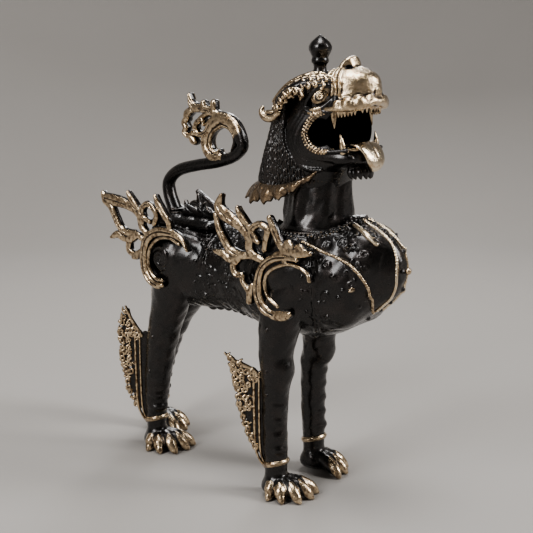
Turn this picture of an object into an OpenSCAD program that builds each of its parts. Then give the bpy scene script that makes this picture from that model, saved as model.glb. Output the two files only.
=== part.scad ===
// Foo dog statue: a hollow cast brass guardian lion. It faces -Y, its left side is +X, and it
// stands on Z = 0. The head turns on a spigot in the body, and the back plate lifts off with
// the tail.

/* [Body] */
// Distance from the front ankles to the rear ankles
wheelbase = 212; // [206:1:218]
// Height of the back
back_z = 292; // [288:1:296]
// Height of the belly at the waist
belly_z = 190; // [186:1:196]
// Width over the shoulders
shoulder_w = 110; // [106:1:114]
// Width over the hips
hip_w = 98; // [94:1:102]
// Wall of the hollow body
wall = 4; // [3:0.5:5]

/* [Legs] */
// Diameter of a front leg below the knee
leg_d = 29; // [26:1:32]
// Height of the anklets
ankle_z = 40; // [38:1:42]
// How far the left rear foot stands behind the right one
stride = 55; // [45:1:60]
// How far a paw reaches ahead of its ankle
paw_len = 46; // [42:1:48]

/* [Head] */
// Diameter of the neck where it meets the body
neck_d = 76; // [74:1:78]
// Radius of the spigot that the head turns on
spigot_r = 26; // [24:0.5:28]
// Radial clearance of the spigot in its socket
spigot_gap = 0.06; // [0.02:0.01:0.1]
// Gap between the foot of the neck and its seat
seat_gap = 0.4; // [0.3:0.1:0.6]
// Height of the tip of the crown finial
crown_z = 510; // [506:1:514]
// Width across the mouth at the fangs
mouth_w = 66; // [62:1:70]

/* [Back plate and tail] */
// Length of the opening under the back plate
hatch_len = 86; // [82:1:88]
// Width of the opening under the back plate
hatch_w = 50; // [46:1:54]
// Clearance round the plug of the back plate
hatch_gap = 0.5; // [0.4:0.1:0.8]
// Thickness of the tail at its root
tail_d = 17; // [15:1:19]

/* [Ornaments] */
// Thickness of the flame ornaments
flame_t = 9; // [7:0.5:10]
// Angle at which the leg flames splay outwards
splay = 38; // [34:1:42]

/* [Hidden] */

front_y = -75;                     // ankle line of the right front leg
rear_y = front_y + wheelbase;      // ankle line of the right rear leg
neck_y = front_y - 30;             // axis of the neck and its spigot
seat_z = 301;                      // flat seat of the neck on the body
neck_top_z = 352;                  // joint of the neck with the head shell
body_z = (back_z + belly_z) / 2;   // middle height of the barrel
body_r = (back_z - belly_z) / 2;   // half the height of the barrel
gold = [0.72, 0.56, 0.33];
black = [0.09, 0.08, 0.08];
sides = 28;                        // sides of the large castings

// ---------------------------------------------------------------- curves and skins

function unit(v) = v / norm(v);
function catmull(a, b, c, d, t) = 0.5 * (2 * b + (c - a) * t + (2 * a - 5 * b + 4 * c - d) * t * t
    + (3 * b - a - 3 * c + d) * t * t * t);
// A smooth curve through its points; each point may carry any numbers, such as a radius
function smooth(p, k) = let(n = len(p)) [for (i = [0 : n - 2]) for (j = [0 : (i == n - 2 ? k : k - 1)])
    catmull(p[max(i - 1, 0)], p[i], p[i + 1], p[min(i + 2, n - 1)], j / k)];
function lerp(a, b, t) = a + (b - a) * t;

// A closed skin over rings of equal length; a ring turns right-handed about the way they run
module skin(rings) {
    n = len(rings[0]);
    m = len(rings);
    side = [for (j = [0 : m - 2]) for (i = [0 : n - 1]) let(a = j * n + i, b = j * n + (i + 1) % n)
        each [[a, a + n, b + n], [a, b + n, b]]];
    polyhedron(points = [for (r = rings) each r],
        faces = concat(side, [[for (i = [0 : n - 1]) i]], [[for (i = [0 : n - 1]) m * n - 1 - i]]),
        convexity = 8);
}
// Rings across Y from stations [y, z, half width, half height, x]
function rings_y(s, n, inset = 0) = [for (q = s) [for (i = [0 : n - 1]) let(a = 360 * i / n)
    [q[4] + (q[2] - inset) * cos(a), q[0], q[1] + (q[3] - inset) * sin(a)]]];
// Rings across Z from stations [z, x, y, half width, half depth]
function rings_z(s, n, inset = 0) = [for (q = s) [for (i = [0 : n - 1]) let(a = 360 * i / n)
    [q[1] + (q[3] - inset) * cos(a), q[2] + (q[4] - inset) * sin(a), q[0]]]];
// Rings along a route of [x, y, z, radius], with a fixed side direction
function rings_route(p, n, side) = [for (j = [0 : len(p) - 1])
    let(q = p[j], a = p[max(j - 1, 0)], b = p[min(j + 1, len(p) - 1)],
        t = unit([b[0] - a[0], b[1] - a[1], b[2] - a[2]]), u = unit(side - t * (side * t)), v = cross(t, u))
    [for (i = [0 : n - 1]) [q[0], q[1], q[2]] + q[3] * (cos(360 * i / n) * u + sin(360 * i / n) * v)]];
module rod(p, n = 10, side = [1, 0, 0]) { skin(rings_route(p, n, side)); }

// A flat band along a route of [u, v, width]
function band(p) = let(n = len(p), s = [for (j = [0 : n - 1])
    let(a = p[max(j - 1, 0)], b = p[min(j + 1, n - 1)], t = unit([b[0] - a[0], b[1] - a[1]]))
    [-t[1], t[0]] * p[j][2] / 2])
    concat([for (j = [0 : n - 1]) [p[j][0], p[j][1]] + s[j]],
        [for (j = [n - 1 : -1 : 0]) [p[j][0], p[j][1]] - s[j]]);
module strand(p, t) { linear_extrude(t) polygon(band(smooth(p, 4))); }
// Stands a flat plate up, so that u runs along Y, v along Z and its thickness along X
module upright() { rotate([90, 0, 90]) children(); }

// ---------------------------------------------------------------- torso

breast_y = front_y - 141;          // foremost point of the chest
breast_z = body_z + 28;
// Stations of the body from rump to chest: [y, z, half width, half height, x]
torso_ends = [
    [rear_y + 10, body_z + 8, 8, 14, 2], [rear_y + 6, body_z + 6, 26, 30, 2],
    [rear_y - 8, body_z + 2, hip_w / 2 - 9, body_r - 7, 2],
    [rear_y - 30, body_z, hip_w / 2 - 1, body_r - 1, 1],
    [rear_y - 50, body_z - 1, hip_w / 2, body_r + 1, 0], [rear_y - 80, body_z, hip_w / 2 - 4, body_r, 0],
    [rear_y - 112, body_z + 1, hip_w / 2 - 9, body_r - 2, 0], [front_y + 62, body_z, 43, body_r + 1, 0],
    [front_y + 32, body_z - 1, shoulder_w / 2 - 4, body_r + 6, 0],
    [front_y, body_z + 1, shoulder_w / 2, body_r + 8, 0],
    [front_y - 34, body_z + 4, shoulder_w / 2 - 1, body_r + 11, 0],
    [front_y - 66, body_z + 13, shoulder_w / 2 - 8, body_r + 11, 0],
    [front_y - 95, body_z + 23, shoulder_w / 2 - 17, body_r + 2, 0],
    [front_y - 118, body_z + 27, shoulder_w / 2 - 28, body_r - 11, 0],
    [breast_y + 7, breast_z, 16, 26, 0], [breast_y, breast_z, 7, 11, 0]];
torso_stations = smooth(torso_ends, 2);
module torso_outer() { skin(rings_y(torso_stations, sides)); }
module torso_inner() {
    core = [for (q = torso_ends) if (q[0] < rear_y - 4 && q[0] > front_y - 120) q];
    skin(rings_y(core, 20, wall));
}
hatch_y = rear_y - 53;             // middle of the opening in the back
hatch_z = back_z - 5;              // flat seat of the back plate
module hatch_outline(grow) {
    r = 12 + grow;
    square([hatch_w + 2 * grow - 2 * r, hatch_len + 2 * grow], center = true);
    square([hatch_w + 2 * grow, hatch_len + 2 * grow - 2 * r], center = true);
    for (x = [-1, 1], y = [-1, 1])
        translate([x * (hatch_w / 2 + grow - r), y * (hatch_len / 2 + grow - r)]) circle(r, $fn = 32);
}
module torso_shell() color(black) {
    difference() {
        union() {
            difference() { torso_outer(); torso_inner(); }
            intersection() {
                torso_outer();
                union() {
                    translate([0, neck_y, seat_z - 16]) cylinder(h = 16, r = spigot_r + 5, $fn = 64);
                    translate([0, neck_y, seat_z - 5]) cylinder(h = 40, r = neck_d / 2 + 13, $fn = 64);
                }
            }
            translate([0, hatch_y, hatch_z - 14]) linear_extrude(14) hatch_outline(5);
        }
        translate([0, neck_y, seat_z]) cylinder(h = 60, r = neck_d / 2 + 9, $fn = 64);
        translate([0, neck_y, seat_z - 60]) cylinder(h = 80, r = spigot_r + spigot_gap, $fn = 64);
        translate([0, hatch_y, hatch_z - 60]) linear_extrude(100) hatch_outline(0);
        translate([0, hatch_y, hatch_z]) linear_extrude(100) hatch_outline(6);
    }
}

// ---------------------------------------------------------------- legs

// One leg: ankle place, how its top leans, heading of the paw, and whether it is a front leg
function leg_place(name) = name == "front_right" ? [-43, front_y - 5, 0, 8]
    : name == "front_left" ? [48, front_y + 13, -5, -22]
    : name == "rear_right" ? [-25, rear_y - 3, -5, 8] : [30, rear_y - 3 + stride, 0, -22];
function is_front(name) = name == "front_right" || name == "front_left";
function leg_route(name) = let(p = leg_place(name), s = sign(p[0]), x = p[0], y = p[1], r = leg_d / 2)
    is_front(name) ? [
        [14, x, y - 2, r - 3, r - 3], [ankle_z - 12, x, y, r - 3, r - 3], [ankle_z + 4, x, y, r - 1, r - 1],
        [88, x, y + 2, r, r], [134, x, y + 1, r + 1, r + 1],
        [165, x, lerp(y, front_y, 0.4) - 2, r + 4, r + 4],
        [204, s * 40, front_y - 10, r + 9, r + 11], [238, s * 38, front_y - 20, r + 11, r + 20],
        [268, s * 37, front_y - 24, r + 8, r + 14], [286, s * 33, front_y - 24, r - 2, r]]
    : let(hip = rear_y - 44 + (s > 0 ? 8 : 0)) [
        [14, x, y - 2, r - 4, r - 4], [ankle_z - 12, x, y, r - 4, r - 4], [ankle_z + 4, x, y, r - 1, r - 1],
        [95, lerp(x, s * 27, 0.3), lerp(y, hip, 0.12), r + 2, r + 2],
        [145, lerp(x, s * 27, 0.6), lerp(y, hip, 0.36), r + 4, r + 4],
        [195, s * 28, lerp(y, hip, 0.8), r + 8, r + 12], [228, s * 30, hip, r + 9, r + 18],
        [256, s * 30, hip, r + 8, r + 18], [276, s * 27, hip - 2, r, r + 6]];
toe_angles = [-50, -25, 0, 30, 66];
toe_reach = [1, 1, 0.95, 0.72, 0.5];
module paw(p) {
    s = -sign(p[0]);
    for (i = [0 : 4]) {
        a = p[3] + s * toe_angles[i];
        reach = paw_len * toe_reach[i];
        d = [-sin(a), -cos(a)];
        hull() {
            translate([p[0], p[1], 12]) sphere(14, $fn = 12);
            translate([p[0] + d[0] * reach * 0.66, p[1] + d[1] * reach * 0.66, 8]) sphere(9, $fn = 12);
        }
        hull() {
            translate([p[0] + d[0] * reach * 0.66, p[1] + d[1] * reach * 0.66, 8]) sphere(9, $fn = 12);
            translate([p[0] + d[0] * (reach - 4), p[1] + d[1] * (reach - 4), 3]) sphere(4, $fn = 12);
        }
    }
}
module leg_solid(name) {
    difference() {
        union() {
            skin(rings_z(leg_route(name), 20));
            paw(leg_place(name));
        }
        translate([-200, -400, -20]) cube([400, 800, 20]);
    }
}
module leg(name) color(black) difference() {
    leg_solid(name);
    torso_outer();
    anklet_solid(name, 0);
}
module anklet_solid(name, grow) {
    p = leg_place(name);
    r = leg_d / 2 - (is_front(name) ? 2.2 : 2.6);
    translate([p[0], p[1], ankle_z - 4]) rotate_extrude($fn = 48)
        translate([r, 0]) square([4.5 + grow, 5]);
}
module anklet(name) color(gold) anklet_solid(name, 0);

// ---------------------------------------------------------------- leg flames

fin_t = 5;                         // thickness of the fins behind the shins
// Outline of a fin: u is the distance from the leg's axis, v the height
module fin_outline(reach, top) {
    steps = 8;
    edge = [for (i = [0 : steps]) let(t = i / steps)
        [lerp(36, reach * 0.92, t) + (i % 2) * 4, lerp(70, top * 0.88, t)]];
    difference() {
        polygon(concat([[11, 36], [18, 46], [27, 52], [33, 62]], edge,
            [[reach, top], [lerp(13, reach, 0.45), top * 0.9], [12, top * 0.82]]));
        for (i = [0 : 3]) translate([27 + i * 1.5, 78 + i * 17]) circle(2.6, $fn = 24);
    }
}
module fin(name) color(gold) {
    p = leg_place(name);
    difference() {
        translate([p[0], p[1], 0]) rotate([0, 0, -sign(p[0]) * splay]) translate([-fin_t / 2, 0, 0])
            upright() linear_extrude(fin_t)
                fin_outline(is_front(name) ? 57 : 44, is_front(name) ? 166 : 183);
        leg_solid(name);
        anklet_solid(name, 0);
    }
}

// ---------------------------------------------------------------- flame ornaments

// Strands of one ornament about the middle of its C band: [u, v, width], u towards the tail
c_r = 36;
function c_band(from, to) = [for (i = [0 : 12]) let(a = lerp(from, to, i / 12))
    [c_r * cos(a), c_r * sin(a), 9 - 5 * pow(abs(i / 6 - 1), 3)]];
hip_strands = [
    [[30, 22, 6], [46, 38, 8], [60, 56, 9], [76, 68, 10], [82, 70, 4]],
    [[78, 64, 8], [72, 46, 8], [62, 28, 8], [44, 26, 6], [30, 24, 5]],
    [[34, 44, 5], [40, 60, 6], [42, 76, 4]],
    [[62, 26, 6], [74, 20, 5], [76, 17, 2]],
    [[58, 26, 6], [56, 12, 7], [44, 2, 7], [34, 0, 5]],
    [[8, 34, 6], [4, 50, 6], [-2, 66, 6], [-8, 78, 4]]];
hip_loop = [20, 52];
shoulder_strands = [
    [[34, 30, 6], [46, 50, 8], [62, 68, 9], [78, 82, 11], [88, 92, 4]],
    [[82, 80, 9], [78, 60, 9], [66, 40, 9], [48, 36, 6], [34, 32, 5]],
    [[44, 52, 5], [50, 68, 6], [55, 80, 4]],
    [[72, 44, 6], [84, 34, 6], [90, 28, 2]],
    [[64, 40, 6], [60, 22, 8], [50, 8, 7], [36, -6, 5]],
    [[2, 36, 6], [4, 52, 7], [12, 66, 7], [14, 72, 4]],
    [[-10, 36, 6], [-16, 48, 8], [-22, 52, 5]]];
shoulder_loop = [27, 52];
module flames(strands, loop) {
    strand(c_band(-100, 150), flame_t);
    for (s = strands) strand(s, flame_t);
    translate(loop) linear_extrude(flame_t) difference() {
        circle(9, $fn = 40);
        circle(4.5, $fn = 40);
    }
    translate([loop[0] - 6, loop[1] - 14]) linear_extrude(flame_t) polygon([[0, 0], [7, 0], [8, 8], [1, 8]]);
}
hip_centre = [50, rear_y - 47, 252];       // inner side, y and z of the C band's middle
shoulder_centre = [53, front_y - 28, 246];
// The left hip stands further back than the right one, so its ornament is set back and tilted
hip_setback = 10;
hip_tilt = 27;
// Stands an ornament on side s of the body, with its thickness outwards
module at_side(s, centre, back = 0, tilt = 0) {
    translate([s > 0 ? centre[0] : -centre[0] - flame_t, centre[1] + back, centre[2]])
        rotate([-tilt, 0, 0]) upright() children();
}
module hip_flame(s) color(gold) difference() {
    at_side(s, hip_centre, s > 0 ? hip_setback : 0, s > 0 ? hip_tilt : 0) flames(hip_strands, hip_loop);
    torso_outer();
    leg_solid(s > 0 ? "rear_left" : "rear_right");
}
module shoulder_flame(s) color(gold) difference() {
    at_side(s, shoulder_centre) flames(shoulder_strands, shoulder_loop);
    torso_outer();
    leg_solid(s > 0 ? "front_left" : "front_right");
}

// ---------------------------------------------------------------- chest and body trim

module neck_collar() color(gold) translate([0, neck_y, seat_z]) rotate_extrude($fn = 64)
    translate([neck_d / 2 + 2.5, 0]) square([5.5, 4]);
// A point on the body's outside at a given y and angle, 0 at the left side and 90 on top
function on_torso(y, a, out = 0) = let(q = at_station(y))
    [q[4] + (q[2] + out) * cos(a), y, q[1] + (q[3] + out) * sin(a)];
function at_station(y) = let(s = torso_stations,
    i = [for (k = [0 : len(s) - 2]) if (y <= s[k][0] && y >= s[k + 1][0]) k][0],
    t = (s[i][0] - y) / (s[i][0] - s[i + 1][0])) s[i] + (s[i + 1] - s[i]) * t;
// A rope on the body through [y from the front ankles, degrees from the top towards side s]
module on_body_rope(run, s, r) {
    rod([for (p = run) let(q = on_torso(front_y + p[0], 90 - s * p[1], 0.4)) [q[0], q[1], q[2], r]],
        8, [0.3, 0.5, 0.8]);
}
strap_run = smooth([[-47, 52], [-78, 65], [-92, 73], [-104, 81], [-111, 91], [-115, 103],
    [-117, 118], [-117, 135], [-110, 166]], 2);
bar_run = [[-88, 21], [-94, 25], [-100, 29], [-106, 33], [-111, 37], [-117, 42]];
keel_runs = [[[-96, 0], [-106, 0], [-116, 0], [-126, 0], [-134, 0], [-139, 0]],
    [[-139, 180], [-134, 180], [-127, 180], [-119, 180], [-111, 180]]];
module chest_strap(s) color(gold) difference() {
    on_body_rope(strap_run, s, 1.9);
    torso_outer();
}
// The beaded keel down the front of the chest and the polished bar on each side of its top
module chest_crest() color(gold) difference() {
    union() {
        for (run = keel_runs) on_body_rope(run, 1, 1.9);
        for (s = [-1, 1]) on_body_rope(bar_run, s, 3);
    }
    torso_outer();
    translate([0, neck_y, seat_z]) cylinder(h = 60, r = neck_d / 2 + 9, $fn = 64);
}
module chest_stud() color(gold) difference() {
    translate([0, breast_y + 5, breast_z]) rotate([90, 0, 0]) cylinder(h = 12, r1 = 4, r2 = 2.6, $fn = 32);
    torso_outer();
}
stud_places = [[22, 35], [52, 60], [20, 145], [50, 120], [96, 30], [96, 60], [104, 150], [96, 120],
    [-96, 30], [-96, 150], [-103, -16], [-103, 196], [-129, 40], [-129, 140]];
module body_studs() color(black) for (p = stud_places) {
    q = on_torso(front_y + p[0], p[1], -2);
    translate(q) rotate([0, 90 - p[1], 0]) cylinder(h = 5, r1 = 3.2, r2 = 1.6, $fn = 24);
}

// ---------------------------------------------------------------- neck and head

head_y = neck_y;                   // the head is centred on the neck
jaw_y = neck_y - 52;               // middle of the round muzzle
snout_back = jaw_y + 14;           // plane where the snout meets the skull
jaw_top = 390;                     // rim of the lower jaw
mouth_floor = jaw_top + 1;         // the mouth space starts just above the rim
lip_z = 431;                       // underside of the upper jaw
module neck_column() color(black) translate([0, neck_y, 0]) rotate_extrude($fn = 96) polygon([
    [spigot_r - 4, seat_z - 15], [spigot_r, seat_z - 15], [spigot_r, seat_z + seat_gap],
    [neck_d / 2, seat_z + seat_gap], [neck_d / 2 - 2, seat_z + 14], [neck_d / 2 - 4, seat_z + 32],
    [neck_d / 2 - 4, neck_top_z], [spigot_r - 4, neck_top_z]]);
module skull_outer() {
    skin(rings_z([
        [neck_top_z, 0, head_y + 2, neck_d / 2 - 3, neck_d / 2 - 1], [364, 0, head_y + 2, 38, 42],
        [385, 0, head_y, 40, 44], [410, 0, head_y - 2, 40, 45], [435, 0, head_y - 4, 38, 44],
        [455, 0, head_y - 4, 33, 36], [468, 0, head_y - 2, 22, 22]], sides));
}
// The open mouth: a wedge that widens towards the lips
module mouth_space() {
    hull() {
        translate([-mouth_w / 2 + 7, head_y - 18, mouth_floor - 3]) cube([mouth_w - 14, 4, 44]);
        translate([-mouth_w / 2 + 4, jaw_y - 50, mouth_floor]) cube([mouth_w - 8, 4, 42]);
    }
}
module head_shell() color(black) difference() {
    skull_outer();
    mouth_space();
    skin(rings_z([[neck_top_z - 1, 0, head_y + 2, 26, 28], [375, 0, head_y + 2, 33, 38],
        [410, 0, head_y - 2, 34, 39], [440, 0, head_y - 3, 30, 34], [460, 0, head_y - 3, 18, 20]], 20));
    translate([-60, snout_back - 90, 429]) cube([120, 90, 60]);
    translate([-60, jaw_y - 70, neck_top_z - 5]) cube([120, 76, 40]);
}
module muzzle(grow) {
    hull() for (z = [[lip_z, 27], [446, 28], [466, 25], [476, 18]])
        translate([0, jaw_y, z[0]]) cylinder(h = 1, r = z[1] + grow, $fn = 32);
}
module upper_jaw() color(gold) difference() {
    union() {
        muzzle(0);
        translate([-28, jaw_y, lip_z]) cube([56, snout_back - jaw_y, 38]);
        for (s = [-1, 1]) translate([s * 6, jaw_y + 6, 478]) sphere(8, $fn = 20);
    }
    translate([0, jaw_y, lip_z - 6]) cylinder(h = 36, r = 20, $fn = 48);
    translate([-60, snout_back, 400]) cube([120, 60, 100]);
}
module jaw_outer() {
    hull() {
        translate([0, jaw_y + 14, jaw_top - 28]) cylinder(h = 28, r = 32, $fn = 32);
        translate([0, jaw_y + 3, jaw_top - 18]) cylinder(h = 17, r = 20, $fn = 32);
    }
}
module lower_jaw() color(black) difference() {
    jaw_outer();
    hull() {
        translate([0, jaw_y + 14, jaw_top - 10]) cylinder(h = 30, r = 26, $fn = 32);
        translate([0, jaw_y + 3, jaw_top - 6]) cylinder(h = 20, r = 15, $fn = 32);
    }
    translate([-60, jaw_y + 6, 300]) cube([120, 100, 200]);
}
tongue_w = 26;
tongue_route = smooth([[jaw_y + 24, jaw_top + 2.5, 4], [jaw_y + 6, jaw_top + 3, 4],
    [jaw_y - 10, jaw_top + 5, 4], [jaw_y - 21, jaw_top + 1, 4], [jaw_y - 25, 376, 3]], 3);
module tongue() color(gold) upright() translate([0, 0, -tongue_w / 2]) linear_extrude(tongue_w)
    polygon(band(tongue_route));
module tooth(x, y, z, h, r) {
    translate([x, y, z]) cylinder(h = abs(h), r1 = h > 0 ? r : 0.5, r2 = h > 0 ? 0.5 : r, $fn = 24);
}
module upper_teeth() color(gold) {
    row_r = 23.5;
    for (s = [-1, 1]) {
        tooth(s * 24.5, jaw_y + 10, lip_z - 19, -19, 2.6);
        tooth(s * row_r * sin(50), jaw_y - row_r * cos(50), lip_z - 15, -15, 2.2);
    }
    for (i = [-2 : 2]) tooth(row_r * sin(i * 15), jaw_y - row_r * cos(i * 15), lip_z - 7, -7, 1.8);
}
module lower_fangs() color(gold) for (s = [-1, 1]) tooth(s * 25.8, jaw_y + 2, jaw_top - 1, 17, 2.4);
module eyes() color(gold) for (s = [-1, 1])
    translate([s * 31, head_y - 28, 449]) rotate([0, s * 72, 0]) cylinder(h = 6, r = 8, $fn = 32);
module brow_scroll(s) color(gold) difference() {
    rod(smooth([[s * 22, head_y - 30, 470, 5], [s * 34, head_y - 6, 466, 7],
        [s * 42, head_y + 14, 450, 8], [s * 44, head_y + 24, 430, 6], [s * 46, head_y + 36, 419, 8],
        [s * 47, head_y + 46, 425, 5]], 3), 10, [s, 0, 0]);
    skull_outer();
}
module mane_outer() {
    skin(rings_z([[348, 0, head_y + 22, 44, 46], [366, 0, head_y + 17, 45, 46], [392, 0, head_y + 10, 44, 44],
        [420, 0, head_y + 6, 43, 42], [446, 0, head_y + 5, 40, 38]], sides));
}
module mane() color(black) difference() {
    mane_outer();
    skull_outer();
    neck_keepout();
    translate([-80, head_y - 120, 340]) cube([160, 106, 120]);
    for (s = [-1, 1]) hull() brow_hull(s);
}
module brow_hull(s) {
    translate([s * 44, head_y + 20, 436]) sphere(13, $fn = 12);
    translate([s * 47, head_y + 44, 420]) sphere(13, $fn = 12);
    translate([s * 38, head_y - 4, 462]) sphere(13, $fn = 12);
}
module neck_keepout() translate([0, neck_y, 300]) cylinder(h = 56, r = neck_d / 2, $fn = 48);
module mane_fringe() color(gold) difference() {
    skin(rings_z([[328, 0, head_y + 40, 34, 34], [336, 0, head_y + 34, 42, 42],
        [348, 0, head_y + 22, 44, 45.9]], sides));
    skin(rings_z([[327, 0, head_y + 36, 32, 32], [336, 0, head_y + 31, 39, 39],
        [349, 0, head_y + 19, 41, 43]], sides));
    neck_keepout();
    translate([-80, head_y - 120, 310]) cube([160, 106, 60]);
}
module chin_beard() color(black) difference() {
    hull() {
        translate([0, jaw_y + 2, 358]) cylinder(h = 14, r = 14, $fn = 24);
        translate([0, jaw_y - 6, 362]) cylinder(h = 9, r = 10, $fn = 24);
    }
    jaw_outer();
    translate([-60, jaw_y + 6, 300]) cube([120, 100, 200]);
}
module crown_finial() color(black) translate([0, neck_y + 1, 0]) rotate_extrude($fn = 48) polygon([
    [0, 468], [12, 468], [9, 472], [7.2, 476], [7, crown_z - 32], [9.2, crown_z - 28.5],
    [9.2, crown_z - 25.5], [8.6, crown_z - 24], [9.8, crown_z - 21], [12.1, crown_z - 16],
    [12.3, crown_z - 12], [10.2, crown_z - 8], [6, crown_z - 4], [2.2, crown_z - 1.2], [0, crown_z]]);

// ---------------------------------------------------------------- back plate and tail

module back_plate() color(black) difference() {
    union() {
        translate([0, hatch_y, hatch_z + 0.3]) linear_extrude(10) hatch_outline(5);
        translate([0, hatch_y, hatch_z - 5]) linear_extrude(6) hatch_outline(-hatch_gap);
    }
    translate([0, tail_y, hatch_z - 10]) cylinder(h = 40, r = 4, $fn = 32);
}
plate_top = hatch_z + 10.3;
tail_y = rear_y - 21;              // root of the tail on the plate
module dorsal_flames() color(black) upright() translate([0, 0, -4]) linear_extrude(8) polygon([
    [hatch_y - 42, plate_top], [hatch_y - 30, plate_top + 3], [hatch_y - 18, plate_top + 9],
    [hatch_y - 10, plate_top + 13], [hatch_y - 5, plate_top + 27], [hatch_y + 2, plate_top + 9],
    [hatch_y + 16, plate_top + 16], [hatch_y + 14, plate_top]]);
tail_route = smooth([[0, tail_y, plate_top, tail_d / 2], [0, tail_y + 11, 316, tail_d / 2 - 0.5],
    [0, tail_y + 16, 336, tail_d / 2 - 1], [0, tail_y - 4, 351, 7], [0, tail_y - 42, 360, 6.5],
    [0, tail_y - 88, 370, 6.5], [0, tail_y - 110, 377, 7], [0, tail_y - 111, 393, 7]], 3);
module tail() color(black) {
    rod(tail_route, 14);
    translate([0, tail_y, hatch_z - 12]) cylinder(h = 24, r = 3.97, $fn = 32);
}
ring_y = tail_y - 80;              // middle of the ring at the end of the tail
ring_z = 394;
module tail_flame() color(gold) difference() {
    union() {
        translate([-5, ring_y, ring_z]) upright() linear_extrude(10) difference() {
            circle(28, $fn = 64);
            circle(19, $fn = 64);
        }
        translate([-4, ring_y, ring_z]) upright() {
            strand([[-8, 26, 9], [6, 34, 10], [26, 34, 10], [42, 46, 7], [48, 62, 3]], 8);
            strand([[10, 34, 5], [8, 42, 7], [10, 48, 4]], 8);
            strand([[44, 44, 8], [56, 34, 8], [56, 18, 9], [44, 8, 8], [30, 6, 6]], 8);
            strand([[50, 12, 7], [46, 0, 8], [40, -6, 5]], 8);
        }
    }
    rod(tail_route, 14);
}
module tail_nut() color(gold) difference() {
    translate([0, tail_y, hatch_z - 11]) cylinder(h = 6, r = 9, $fn = 6);
    translate([0, tail_y, hatch_z - 20]) cylinder(h = 30, r = 4, $fn = 32);
}

torso_shell();
leg("front_right");  // front_leg_right
leg("front_left");  // front_leg_left
leg("rear_right");  // rear_leg_right
leg("rear_left");  // rear_leg_left
anklet("front_right");  // anklet_front_right
anklet("front_left");  // anklet_front_left
anklet("rear_right");  // anklet_rear_right
anklet("rear_left");  // anklet_rear_left
fin("front_right");  // leg_flame_front_right
fin("front_left");  // leg_flame_front_left
fin("rear_right");  // leg_flame_rear_right
fin("rear_left");  // leg_flame_rear_left
shoulder_flame(-1);  // shoulder_flame_right
shoulder_flame(1);  // shoulder_flame_left
hip_flame(-1);  // hip_flame_right
hip_flame(1);  // hip_flame_left
neck_collar();
chest_strap(-1);  // chest_strap_right
chest_strap(1);  // chest_strap_left
chest_crest();
chest_stud();
body_studs();
neck_column();
head_shell();
upper_jaw();
lower_jaw();
tongue();
upper_teeth();
lower_fangs();
eyes();
brow_scroll(-1);  // brow_scroll_right
brow_scroll(1);  // brow_scroll_left
mane();
mane_fringe();
chin_beard();
crown_finial();
back_plate();
dorsal_flames();
tail();
tail_flame();
tail_nut();
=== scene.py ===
"""A foo dog statue in black and gold patinated brass, sculpted around its CAD frame.

Every casting is modelled as clay: a grid of distances to its skin, built up from ropes, balls
and lofts, then turned into a mesh. Sculpting lengths are in millimetres in a frame whose origin
is on the floor under the line of the front feet, so a small shift puts them in the row frame.
"""
import math

import bpy
import numpy as np
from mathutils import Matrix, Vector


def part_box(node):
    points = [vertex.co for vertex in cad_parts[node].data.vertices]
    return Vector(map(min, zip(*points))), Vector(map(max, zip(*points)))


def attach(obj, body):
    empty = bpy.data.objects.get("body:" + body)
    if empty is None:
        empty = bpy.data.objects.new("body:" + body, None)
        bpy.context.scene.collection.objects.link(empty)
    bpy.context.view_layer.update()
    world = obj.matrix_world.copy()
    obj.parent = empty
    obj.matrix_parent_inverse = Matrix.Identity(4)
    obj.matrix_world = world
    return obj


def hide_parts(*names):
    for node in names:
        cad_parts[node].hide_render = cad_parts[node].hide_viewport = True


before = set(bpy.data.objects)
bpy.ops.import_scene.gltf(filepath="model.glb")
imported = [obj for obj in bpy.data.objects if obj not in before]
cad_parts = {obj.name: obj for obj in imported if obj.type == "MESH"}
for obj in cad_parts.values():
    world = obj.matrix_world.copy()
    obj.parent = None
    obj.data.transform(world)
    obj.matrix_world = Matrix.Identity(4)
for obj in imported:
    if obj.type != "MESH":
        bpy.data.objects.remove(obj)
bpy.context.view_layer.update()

import openvdb
from mathutils import Vector

MM = 0.001
FAR = 40.0                         # distance in mm that counts as far from any skin
COARSE = 1.0


def box_mm(node):
    """Lowest and highest corner of a CAD node, in mm of the row frame."""
    low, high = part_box(node)
    return np.array(low) / MM, np.array(high) / MM


def middle(node):
    low, high = box_mm(node)
    return (low + high) / 2


FRONT = middle("neck_column")[1] + 30        # row Y of the line of the front feet
SHIFT = np.array((0, FRONT, 0))
NECK = middle("neck_column") - SHIFT         # the axis that the head turns on
SEAT = box_mm("neck_collar")[0][2]           # height of the seat under the neck
HATCH = middle("back_plate") - SHIFT
TAIL_ROOT = middle("tail_nut") - SHIFT
ANKLES = {leg: middle("anklet_" + leg) - SHIFT
          for leg in ("front_right", "front_left", "rear_right", "rear_left")}
SIDES = ((-1, "right"), (1, "left"))
SHOULDER, HIP = (-28, 246), (165, 252)       # middles (y, z) of the C scrolls
HIP_SETBACK = 8                              # how much further back the left hip stands
PAINTED_MOUTH_SHADE = -1.5                                # "gold" value that paints the unlit insides of the mouth near black as shade, far below bare black


# ------------------------------------------------------------------ curves

def spline(points, steps=6):
    """A smooth curve through the points, which may carry further numbers such as a radius."""
    p = np.array(points, float)
    p = np.vstack([2 * p[0] - p[1], p, 2 * p[-1] - p[-2]])
    t = np.linspace(0, 1, steps, endpoint=False)[:, None]
    spans = [0.5 * (2 * b + (c - a) * t + (2 * a - 5 * b + 4 * c - d) * t ** 2
                    + (3 * b - a - 3 * c + d) * t ** 3)
             for a, b, c, d in zip(p[:-3], p[1:-2], p[2:-1], p[3:])]
    return np.vstack(spans + [p[-2:-1]])


def lerp(a, b, t):
    return a + (b - a) * t


def both_halves(half):
    """A closed outline from its right half, which starts at an end and stops on the middle plane."""
    half = np.array(half, float)
    return np.vstack([half, half[-2::-1] * (-1, 1, 1)])


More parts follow.
